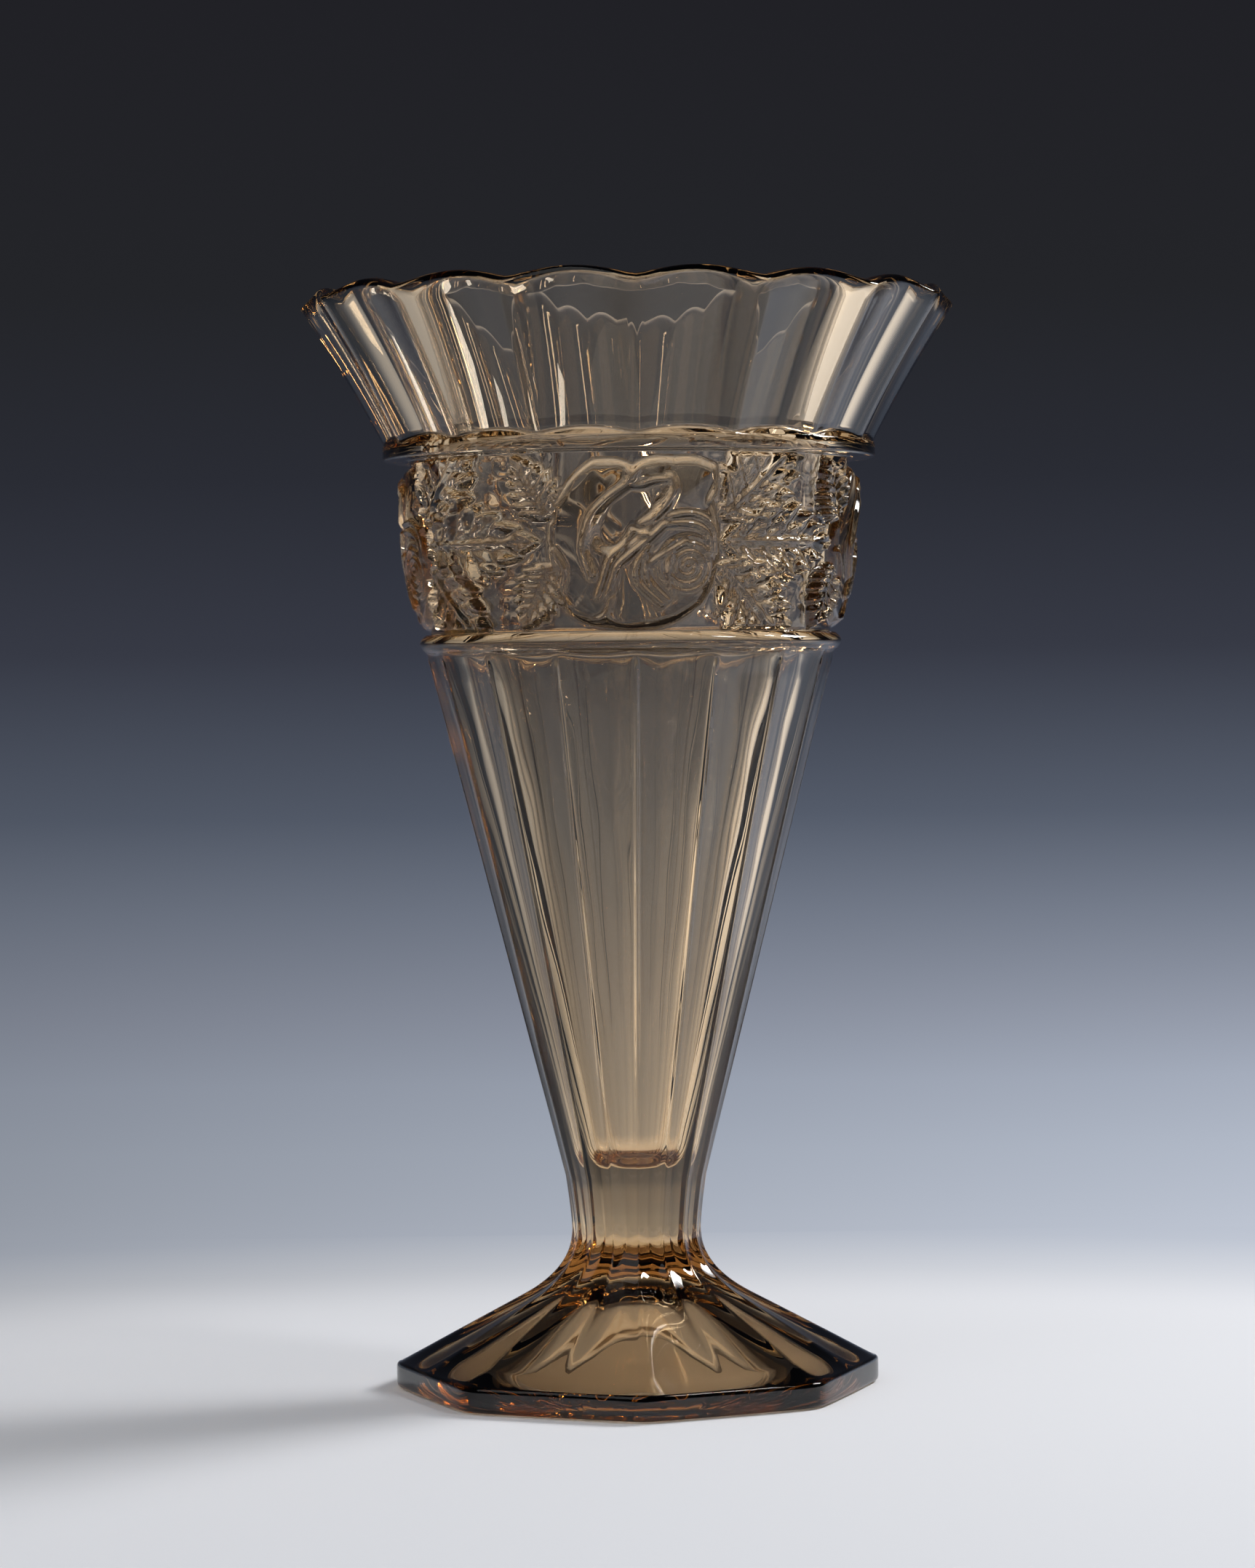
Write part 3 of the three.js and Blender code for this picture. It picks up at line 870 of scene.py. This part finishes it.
def sum_of(tree: Tree, operation: str, *values: Value) -> Socket:
    """One sum on sockets or numbers.

    Args:
        tree: Nodes that the sum joins.
        operation: Name of the sum.
        *values: Sockets or numbers that go into it.

    Returns:
        The socket of the result.
    """
    node = tree.nodes.new("ShaderNodeMath")
    node.operation = operation
    for socket, value in zip(node.inputs, values):
        if isinstance(value, (int, float)):
            socket.default_value = value
        else:
            tree.links.new(value, socket)
    return node.outputs["Value"]


def product(tree: Tree, *values: Value) -> Socket:
    """Product of several sockets or numbers."""
    whole = values[0]
    for value in values[1:]:
        whole = sum_of(tree, "MULTIPLY", whole, value)
    return whole


def eased(tree: Tree, value: Socket, low: float, high: float, most: float = 1.0) -> Socket:
    """Eases from 0 to a most.

    Args:
        tree: Nodes that it joins.
        value: Socket of the value.
        low: Value where 0 ends.
        high: Value where the most begins.
        most: What it rises to.

    Returns:
        The socket of the result.
    """
    ease = tree.nodes.new("ShaderNodeMapRange")
    ease.interpolation_type = "SMOOTHSTEP"
    ease.inputs["From Min"].default_value = low
    ease.inputs["From Max"].default_value = high
    ease.inputs["To Max"].default_value = most
    tree.links.new(value, ease.inputs["Value"])
    return ease.outputs["Result"]


def split(tree: Tree, place: Socket) -> tuple[Socket, Socket, Socket]:
    """The X, Y and Z of a place."""
    parts = tree.nodes.new("ShaderNodeSeparateXYZ")
    tree.links.new(place, parts.inputs["Vector"])
    return tuple(parts.outputs[axis] for axis in "XYZ")


def noise(tree: Tree, place: Socket, scale: float) -> Socket:
    """Soft noise without finer detail."""
    cloud = tree.nodes.new("ShaderNodeTexNoise")
    cloud.inputs["Scale"].default_value = scale
    cloud.inputs["Detail"].default_value = 0
    tree.links.new(place, cloud.inputs["Vector"])
    return cloud.outputs["Fac"]


@dataclass(frozen=True)
class Spot:
    """A place on the vase: sockets of its angle from -Y towards +X, its radius and its height."""

    angle: Socket
    radius: Socket
    z: Socket


def spot_of(tree: Tree, place: Socket) -> Spot:
    """The spot on the vase that the object's own coordinates give."""
    x, y, z = split(tree, place)
    angle = sum_of(tree, "ARCTAN2", x, product(tree, y, -1.0))
    squares = [product(tree, axis, axis) for axis in (x, y)]
    return Spot(angle, sum_of(tree, "SQRT", sum_of(tree, "ADD", *squares)), z)


@dataclass(frozen=True)
class Relief:
    """A relief too fine for the mesh: its strength and its height."""

    strength: float
    height: float

    def normal(self, tree: Tree, form: Socket, under: Socket | None = None) -> Socket:
        """Bends the surface by a form.

        Args:
            tree: Nodes that it joins.
            form: Socket of the form, 1 at its highest.
            under: Socket of a relief that it lies on, if there is one.

        Returns:
            The socket of the bent normal.
        """
        bump = tree.nodes.new("ShaderNodeBump")
        bump.inputs["Strength"].default_value = self.strength
        bump.inputs["Distance"].default_value = self.height
        tree.links.new(form, bump.inputs["Height"])
        if under is not None:
            tree.links.new(under, bump.inputs["Normal"])
        return bump.outputs["Normal"]


@dataclass(frozen=True)
class TopazGlass:
    """Smoky topaz glass, browner where it is thick, with the fine marks that the mould leaves.

    The marks are faint drag lines on the stem and bowl, a bead on the bowl's ridges and a rough cut on
    the leaves. Each start and end gives two distances, where a mark begins to show and where it is full.
    """

    bowl: Bowl
    frieze: Frieze
    name: str = "topaz_glass"
    ior: float = 1.52
    skin: Colour = (0.987, 0.897, 0.785, 1)
    absorbed_by: Colour = (0.71, 0.45, 0.0, 1)
    density: float = 47.0
    drag: Relief = Relief(1.2, 0.2 * MM)
    drag_scale: float = 200.0
    drag_stretch: float = 0.03
    drag_start: Row = (-14 * MM, -8 * MM)
    drag_end: Row = (1.5 * MM, 6 * MM)
    bead: Relief = Relief(1.0, 0.6 * MM)
    bead_width: float = 0.5 * MM
    bead_start: Row = (8 * MM, 40 * MM)
    bead_end: Row = (1.5 * MM, 4 * MM)
    bead_inside: Row = (-3.4 * MM, -3 * MM)
    carving: Relief = Relief(0.15, 0.5 * MM)
    carving_scale: float = 330.0
    leaf_start: Row = (0.41, 0.45)
    band_edge: Row = (0.5 * MM, 2 * MM)
    band_inside: Row = (-0.5 * MM, -0.2 * MM)

    def after(self, tree: Tree, value: Socket, place: float, zone: Row) -> Socket:
        """Share that grows from 0 to 1 over a zone counted up from a place."""
        return eased(tree, value, place + zone[0], place + zone[1])

    def before(self, tree: Tree, value: Socket, place: float, zone: Row) -> Socket:
        """Share that falls from 1 to 0 over a zone counted down from a place."""
        return eased(tree, value, place - zone[0], place - zone[1])

    def on_cone(self, tree: Tree, spot: Spot) -> Socket:
        """A share that is 1 on the stem and bowl and 0 on the foot, frieze and lip."""
        start = self.after(tree, spot.z, self.bowl.stem.top, self.drag_start)
        return product(tree, start, self.before(tree, spot.z, self.bowl.top, self.drag_end))

    def on_ridges(self, tree: Tree, spot: Spot) -> Socket:
        """Fine bead along the outer ridges of the bowl, 1 on a ridge and 0 beside it."""
        half = self.bowl.panels.pitch / 2
        stem, slope = self.bowl.stem, self.bowl.slope
        aside = product(tree, sum_of(tree, "WRAP", spot.angle, half, -half), spot.radius)
        share = sum_of(tree, "DIVIDE", aside, self.bead_width)
        bead = sum_of(tree, "EXPONENT", product(tree, share, share, -1.0))
        apex_radius = sum_of(tree, "SUBTRACT", spot.radius, product(tree, spot.z, slope))
        return product(
            tree,
            bead,
            self.after(tree, apex_radius, stem.radius - slope * stem.top, self.bead_inside),
            self.before(tree, spot.z, self.bowl.top, self.bead_end),
            self.after(tree, spot.z, stem.top, self.bead_start),
        )

    def on_leaves(self, tree: Tree, spot: Spot) -> Socket:
        """A share that is 1 on the carved leaves between the roses and 0 elsewhere."""
        half = self.frieze.quarter / 2
        aside = sum_of(tree, "ABSOLUTE", sum_of(tree, "WRAP", spot.angle, half, -half))
        return product(
            tree,
            self.after(tree, aside, 0, self.leaf_start),
            self.after(tree, spot.z, self.frieze.bottom, self.band_edge),
            self.before(tree, spot.z, self.frieze.top, self.band_edge),
            self.after(tree, spot.radius, self.frieze.low_radius, self.band_inside),
        )

    def marks(self, tree: Tree) -> Socket:
        """Normal of the surface with the mould's marks: drag lines, beads and carving.

        Args:
            tree: Nodes that they join.

        Returns:
            The socket of the normal.
        """
        place = tree.nodes.new("ShaderNodeTexCoord").outputs["Object"]
        stretch = tree.nodes.new("ShaderNodeMapping")
        stretch.inputs["Scale"].default_value = (1, 1, self.drag_stretch)
        tree.links.new(place, stretch.inputs["Vector"])
        spot = spot_of(tree, place)
        lines = noise(tree, stretch.outputs["Vector"], self.drag_scale)
        cuts = noise(tree, place, self.carving_scale)
        normal = self.drag.normal(tree, product(tree, lines, self.on_cone(tree, spot)))
        normal = self.bead.normal(tree, self.on_ridges(tree, spot), normal)
        return self.carving.normal(tree, product(tree, cuts, self.on_leaves(tree, spot)), normal)

    def material(self) -> bpy.types.Material:
        """Builds the glass.

        Returns:
            The material.
        """
        glass = new_material(self.name)
        tree = glass.node_tree
        shader = tree.nodes["Principled BSDF"]
        shader.inputs["Base Color"].default_value = self.skin
        shader.inputs["Roughness"].default_value = 0
        shader.inputs["IOR"].default_value = self.ior
        shader.inputs["Transmission Weight"].default_value = 1
        depth = tree.nodes.new("ShaderNodeVolumeAbsorption")
        depth.inputs["Color"].default_value = self.absorbed_by
        depth.inputs["Density"].default_value = self.density
        tree.links.new(depth.outputs["Volume"], tree.nodes["Material Output"].inputs["Volume"])
        tree.links.new(self.marks(tree), shader.inputs["Normal"])
        return glass


@dataclass
class GlassBody:
    """The whole pressing: sections in order, from under the foot to the floor of the hollow."""

    sections: list[Section]
    finish: TopazGlass
    frieze: Frieze
    steps: int = 224
    finer: int = 2
    row_guard: float = 1e-4
    name: str = "chalice_vase_glass"

    def spun(self) -> tuple[bmesh.types.BMesh, list[int], Array]:
        """Spins the sections' profiles into one round body, finer along the frieze.

        Returns:
            The body, the section of each row, and the rows' radii and heights.
        """
        owners, rows = [], []
        for index, part in enumerate(self.sections):
            profile = part.profile()
            log.info("%s: %d rows", type(part).__name__, len(profile))
            owners += [index] * len(profile)
            rows += profile
        body = bmesh.new()
        station = body.verts.layers.float.new("station")
        chain = [body.verts.new((radius, 0, height)) for radius, height in rows]
        for row, vertex in enumerate(chain):
            vertex[station] = row
        edges = [body.edges.new(pair) for pair in zip(chain[:-1], chain[1:])]
        bmesh.ops.spin(
            body,
            geom=chain + edges,
            cent=(0, 0, 0),
            axis=(0, 0, 1),
            angle=TURN,
            steps=self.steps,
            use_merge=True,
        )
        bmesh.ops.remove_doubles(body, verts=body.verts, dist=WELD)
        band = self.sections.index(self.frieze)
        first = owners.index(band)
        last = first + owners.count(band)
        faces = [f for f in body.faces if all(first <= v[station] <= last for v in f.verts)]
        finer = list(dict.fromkeys(edge for face in faces for edge in face.edges))
        bmesh.ops.subdivide_edges(body, edges=finer, cuts=self.finer, use_grid_fill=True)
        return body, owners, np.array(rows)

    def pressed(self, mesh: bpy.types.Mesh, owners: list[int], rows: Array) -> None:
        """Presses the round body into the shape that each section's mould gives it.

        Args:
            mesh: The round body.
            owners: The section of each row.
            rows: Radius and height of each row.
        """
        count = len(mesh.vertices)
        flat = np.empty(count * 3)
        mesh.vertices.foreach_get("co", flat)
        points = flat.reshape(-1, 3)
        station = np.empty(count)
        mesh.attributes["station"].data.foreach_get("value", station)
        angle = np.mod(np.arctan2(points[:, 0], -points[:, 1]), TURN)
        numbers = np.arange(len(rows))
        radius = np.interp(station, numbers, rows[:, 0])
        height = np.interp(station, numbers, rows[:, 1])
        owner = np.array(owners)[np.floor(station + self.row_guard).astype(int)]
        for index, part in enumerate(self.sections):
            mine = owner == index
            radius[mine], height[mine] = part.press(angle[mine], radius[mine], height[mine])
        placed = np.column_stack([radius * np.sin(angle), -radius * np.cos(angle), height])
        mesh.vertices.foreach_set("co", placed.ravel())
        mesh.attributes.remove(mesh.attributes["station"])

    def build(self) -> bpy.types.Object:
        """Makes the glass and sets it on the frame.

        Returns:
            The finished piece.
        """
        body, owners, rows = self.spun()
        mesh = bpy.data.meshes.new(self.name)
        body.to_mesh(mesh)
        body.free()
        self.pressed(mesh, owners, rows)
        closed = bmesh.new()
        closed.from_mesh(mesh)
        bmesh.ops.remove_doubles(closed, verts=closed.verts, dist=WELD)
        bmesh.ops.recalc_face_normals(closed, faces=closed.faces)
        closed.to_mesh(mesh)
        closed.free()
        mesh.shade_smooth()
        mesh.materials.append(self.finish.material())
        piece = set_up(self.name, mesh)
        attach(piece, "root")
        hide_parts(*[node.value for node in Node])
        log.info("%s: %d faces", piece.name, len(mesh.polygons))
        return piece


@dataclass(frozen=True)
class Shade:
    """One tone of the backdrop: where it lies and its colour as it shows."""

    place: float
    colour: tuple[int, int, int]

    def linear(self) -> Colour:
        """The colour as light."""
        light = []
        for value in self.colour:
            part = value / 255
            curve = ((part + SRGB_LIFT) / (1 + SRGB_LIFT)) ** SRGB_POWER
            light.append(part / SRGB_SLOPE if part <= SRGB_KNEE else curve)
        return (*light, 1)


def graded(tree: Tree, place: Socket, tones: tuple[Shade, ...], power: float = 1.0) -> Socket:
    """Colour that runs through tones as a place grows from 0 to the last tone's.

    Args:
        tree: Nodes that it joins.
        place: Socket of the place.
        tones: The tones, from first to last.
        power: Power that spreads the tones; under 1 gives those near 0 more room.

    Returns:
        The socket of the colour.
    """
    reach = tones[-1].place
    share = sum_of(tree, "MAXIMUM", sum_of(tree, "DIVIDE", place, reach), 0.0)
    ramp = tree.nodes.new("ShaderNodeValToRGB")
    stops = ramp.color_ramp.elements
    spots = [(tone.place / reach) ** power for tone in tones]
    stops[0].position, stops[0].color = spots[0], tones[0].linear()
    stops[1].position, stops[1].color = spots[-1], tones[-1].linear()
    for spot, tone in zip(spots[1:-1], tones[1:-1]):
        stops.new(spot).color = tone.linear()
    tree.links.new(sum_of(tree, "POWER", share, power), ramp.inputs["Fac"])
    return ramp.outputs["Color"]


def mixed(tree: Tree, share: Socket, first: Socket, second: Socket) -> Socket:
    """Shader that goes from a first to a second as a share grows from 0 to 1."""
    blend = tree.nodes.new("ShaderNodeMixShader")
    for socket, value in zip(blend.inputs, (share, first, second)):
        tree.links.new(value, socket)
    return blend.outputs["Shader"]


def painted_glow(tree: Tree, colour: Socket, strength: Socket) -> Socket:
    """Shader that glows in a given tone: painted light of a lit paper, the same however the lamps fall."""
    glow = tree.nodes.new("ShaderNodeEmission")
    tree.links.new(colour, glow.inputs["Color"])
    tree.links.new(strength, glow.inputs["Strength"])
    return glow.outputs["Emission"]


def seen(tree: Tree) -> Socket:
    """A share that is 1 for what the eye, a reflection or the glass looks at."""
    rays = tree.nodes.new("ShaderNodeLightPath").outputs
    direct = sum_of(tree, "MAXIMUM", rays["Is Camera Ray"], rays["Is Glossy Ray"])
    return sum_of(tree, "MAXIMUM", direct, rays["Is Transmission Ray"])


def aimed(place: Vector, aim: Vector) -> Quaternion:
    """Turn of a lamp or camera that points from its place at an aim."""
    return (aim - place).to_track_quat("-Z", "Y")


@dataclass(frozen=True)
class Wing:
    """Light that spills on the sweep at one side: where it starts, where it is full, what it adds."""

    start: float
    full: float
    added: float


@dataclass(frozen=True)
class SideLight:
    """Brightness that grows a little from left to right, less so higher up, with a wing each side."""

    lean: float = 1.4
    limit: float = 0.3
    height: float = 0.17
    wings: tuple[Wing, ...] = (Wing(0.23, 0.35, 1.1), Wing(-0.23, -0.35, 0.35))

    def strength(self, tree: Tree, across: Socket, height: Value) -> Socket:
        """Brightness at a place.

        Args:
            tree: Nodes that it joins.
            across: Socket of the place from left to right.
            height: Socket or number of the height.

        Returns:
            The socket of the brightness, 1 in the middle.
        """
        lean = sum_of(tree, "MINIMUM", product(tree, across, self.lean), self.limit)
        lean = sum_of(tree, "MAXIMUM", lean, -self.limit)
        for wing in self.wings:
            lean = sum_of(tree, "ADD", lean, eased(tree, across, wing.start, wing.full, wing.added))
        share = sum_of(tree, "MINIMUM", sum_of(tree, "DIVIDE", height, self.height), 1.0)
        low = sum_of(tree, "SUBTRACT", 1.0, share)
        return sum_of(tree, "ADD", 1.0, product(tree, lean, low))


@dataclass(frozen=True)
class Floor:
    """Wide pale floor; further off it glows with painted light that darkens away from the vase."""

    light: SideLight
    drop: float = 0.3 * MM
    segments: int = 256
    colour: Colour = (0.78, 0.785, 0.815, 1)
    roughness: float = 0.9
    pale_middle: Point = (0, -0.25, 0)
    pale_end: Row = (0.33, 0.45)
    spread: float = 0.5
    # Painted light: tones of the glowing far floor, darker further from the vase, placed in metres.
    tones: tuple[Shade, ...] = (
        Shade(0.37, (214, 215, 220)),
        Shade(0.44, (196, 199, 206)),
        Shade(0.52, (172, 178, 190)),
        Shade(1.0, (150, 157, 171)),
        Shade(2.5, (110, 117, 131)),
        Shade(14.0, (60, 64, 77)),
    )

    def paper(self) -> bpy.types.Material:
        """Pale matt paper near the vase that turns into graded tones further off, a glow of painted light
        that darkens away from the vase and is lighter to the right.

        Returns:
            The material.
        """
        paper = new_material("pale_floor")
        tree = paper.node_tree
        near = tree.nodes["Principled BSDF"]
        near.inputs["Base Color"].default_value = self.colour
        near.inputs["Roughness"].default_value = self.roughness
        place = tree.nodes.new("ShaderNodeTexCoord").outputs["Object"]
        middle = tree.nodes.new("ShaderNodeVectorMath")
        middle.operation = "DISTANCE"
        middle.inputs[1].default_value = self.pale_middle
        tree.links.new(place, middle.inputs[0])
        away = middle.outputs["Value"]
        strength = self.light.strength(tree, split(tree, place)[0], 0.0)
        # Painted light: further off, the floor glows in its tones, a little lighter to the right.
        far = painted_glow(tree, graded(tree, away, self.tones, self.spread), strength)
        surface = mixed(tree, eased(tree, away, *self.pale_end), near.outputs["BSDF"], far)
        tree.links.new(surface, tree.nodes["Material Output"].inputs["Surface"])
        return paper

    def build(self) -> None:
        """Lays the floor."""
        disc = bmesh.new()
        reach = self.tones[-1].place
        bmesh.ops.create_circle(disc, cap_ends=True, segments=self.segments, radius=reach)
        bmesh.ops.translate(disc, vec=(0, 0, -self.drop), verts=disc.verts)
        mesh = bpy.data.meshes.new("floor")
        disc.to_mesh(mesh)
        disc.free()
        mesh.materials.append(self.paper())
        floor = set_up("floor", mesh)


@dataclass(frozen=True)
class Sweep:
    """Graded paper sweep behind the vase, darker higher up, seen from its front only; it glows with painted
    light.
    """

    light: SideLight
    start: float = 0.26
    bend: float = 0.22
    height: float = 1.2
    half: float = 1.2
    fade: float = 0.6
    bend_rows: int = 24
    wall_rows: int = 4
    spread: float = 0.5
    tones: tuple[Shade, ...] = (
        Shade(0.0, (172, 178, 190)),
        Shade(0.013, (160, 167, 180)),
        Shade(0.03, (150, 157, 171)),
        Shade(0.05, (134, 140, 154)),
        Shade(0.08, (110, 117, 131)),
        Shade(0.11, (83, 90, 104)),
        Shade(0.163, (55, 58, 69)),
        Shade(0.22, (42, 44, 52)),
        Shade(0.28, (36, 37, 41)),
        Shade(0.4, (32, 32, 37)),
    )

    def sheet(self) -> bpy.types.Mesh:
        """The bent sheet, facing the vase.

        Returns:
            The mesh.
        """
        back = self.start + self.bend
        end, high = (back, self.bend), (back, self.height)
        bend = bent((self.start, 0.0), (back, 0.0), end, self.bend_rows)
        rows = [*bend, *spaced(end, high, self.wall_rows), high]
        sheet = bmesh.new()
        line = [sheet.verts.new((-self.half, depth, height)) for depth, height in rows]
        edges = [sheet.edges.new(pair) for pair in zip(line[:-1], line[1:])]
        made = bmesh.ops.extrude_edge_only(sheet, edges=edges)["geom"]
        moved = [item for item in made if isinstance(item, bmesh.types.BMVert)]
        bmesh.ops.translate(sheet, vec=(2 * self.half, 0, 0), verts=moved)
        mesh = bpy.data.meshes.new("sweep")
        sheet.to_mesh(mesh)
        sheet.free()
        if mesh.polygons[0].normal.z < 0:
            mesh.flip_normals()
        mesh.shade_smooth()
        return mesh

    def paper(self) -> bpy.types.Material:
        """Graded paper that glows with painted light, lighter to the right and at its side wings; it fades
        out at its sides and shows from its front only.

        Returns:
            The material.
        """
        paper = new_material("graded_sweep")
        tree = paper.node_tree
        tree.nodes.remove(tree.nodes["Principled BSDF"])
        x, _, z = split(tree, tree.nodes.new("ShaderNodeTexCoord").outputs["Object"])
        # Painted light: the sweep glows in tones darker higher up, lighter to the right and at the side
        # wings.
        glow = painted_glow(tree, graded(tree, z, self.tones, self.spread), self.light.strength(tree, x, z))
        back = tree.nodes.new("ShaderNodeNewGeometry").outputs["Backfacing"]
        front = sum_of(tree, "SUBTRACT", 1.0, back)
        inside = eased(tree, sum_of(tree, "ABSOLUTE", x), self.half, self.fade)
        clear = tree.nodes.new("ShaderNodeBsdfTransparent").outputs["BSDF"]
        surface = mixed(tree, product(tree, seen(tree), front, inside), clear, glow)
        tree.links.new(surface, tree.nodes["Material Output"].inputs["Surface"])
        return paper

    def build(self) -> None:
        """Hangs the sweep."""
        mesh = self.sheet()
        mesh.materials.append(self.paper())
        sweep = set_up("sweep", mesh)


@dataclass(frozen=True)
class Room:
    """Dark room that is seen, reflected and refracted, and an even soft fill."""

    fill_colour: Colour = (0.9, 0.94, 1, 1)
    fill_strength: float = 0.31
    tones: tuple[Shade, ...] = (
        Shade(0.0, (57, 60, 72)),
        Shade(1.0, (47, 50, 59)),
        Shade(3.0, (39, 40, 48)),
        Shade(8.5, (32, 32, 36)),
    )

    def build(self) -> None:
        """Sets the room. Its tones are placed in degrees over the horizon."""
        world = bpy.data.worlds.new("studio")
        bpy.context.scene.world = world
        world.use_nodes = True
        tree = world.node_tree
        fill = tree.nodes["Background"]
        fill.inputs["Color"].default_value = self.fill_colour
        fill.inputs["Strength"].default_value = self.fill_strength
        z = split(tree, tree.nodes.new("ShaderNodeTexCoord").outputs["Generated"])[2]
        degrees = sum_of(tree, "DEGREES", sum_of(tree, "ARCSINE", z))
        walls = tree.nodes.new("ShaderNodeBackground")
        tree.links.new(graded(tree, degrees, self.tones), walls.inputs["Color"])
        surface = mixed(tree, seen(tree), fill.outputs["Background"], walls.outputs["Background"])
        tree.links.new(surface, tree.nodes["World Output"].inputs["Surface"])


@dataclass(frozen=True)
class Lamp:
    """One soft rectangular lamp: its place, its aim, its width and height, and its watts."""

    name: str
    place: Point
    aim: Point
    size: Row
    power: float

    def build(self) -> None:
        """Hangs the lamp."""
        light = bpy.data.lights.new(self.name, "AREA")
        light.shape = "RECTANGLE"
        light.size, light.size_y = self.size
        light.energy = self.power
        holder = set_up(self.name, light)
        holder.location = self.place
        holder.rotation_mode = "QUATERNION"
        holder.rotation_quaternion = aimed(Vector(self.place), Vector(self.aim))


@dataclass(frozen=True)
class Camera:
    """Near-level camera with a long lens, at the photograph's angle."""

    distance: float = 0.99
    height: float = 0.158
    turn: float = math.radians(1.5)
    roll: float = math.radians(-0.58)
    aim: Point = (-0.001, 0, 0.132)
    focal_pixels: float = 6200
    sensor_width: float = 36
    clip: Row = (0.05, 60)

    def build(self) -> None:
        """Sets the camera."""
        data = bpy.data.cameras.new("camera")
        data.sensor_width = self.sensor_width
        data.lens = data.sensor_width * self.focal_pixels / max(PHOTO_WIDTH, PHOTO_HEIGHT)
        data.clip_start, data.clip_end = self.clip
        camera = set_up("camera", data)
        back, left = math.cos(self.turn), math.sin(self.turn)
        place = Vector((-self.distance * left, -self.distance * back, self.height))
        camera.location = place
        camera.rotation_mode = "QUATERNION"
        roll = Quaternion((0, 0, 1), self.roll)
        camera.rotation_quaternion = aimed(place, Vector(self.aim)) @ roll
        bpy.context.scene.camera = camera


@dataclass(frozen=True)
class Studio:
    """Floor, sweep and room, a key on the right, a soft box on the left, a small spark, the camera."""

    light: SideLight = SideLight()
    lamps: tuple[Lamp, ...] = (
        Lamp("key", (1.0, 0.49, 1.0), (0, 0, 0.12), (0.4, 0.5), 16.4),
        Lamp("box", (-0.46, -0.66, 0.99), (0, 0, 0.1), (1.1, 1.2), 2.4),
        Lamp("spark", (0.66, -0.24, 1.07), (0, 0, 0.12), (0.1, 0.25), 2.1),
    )

    def build(self) -> None:
        """Sets up everything round the vase."""
        for item in (Floor(self.light), Sweep(self.light), Room(), *self.lamps, Camera()):
            item.build()
            log.info("%s is set up", type(item).__name__)
        bpy.context.scene.view_settings.view_transform = "Standard"


def main() -> None:
    """Builds the vase section by section and sets it in the studio."""
    logging.basicConfig(level=logging.INFO)
    panels = Panels()
    foot = Foot(panels)
    stem = Stem(panels, foot)
    bowl = Bowl(panels, stem)
    frieze = Frieze(bowl)
    ledge = UpperCollar(frieze)
    hollow = Hollow(bowl, frieze)
    lip = Lip(panels, ledge, hollow)
    sections = [FootHollow(foot), foot, stem, bowl, LowerCollar(bowl), frieze, ledge, lip, hollow]
    GlassBody(sections, TopazGlass(bowl, frieze), frieze).build()
    Studio().build()


if __name__ == "__main__":
    main()
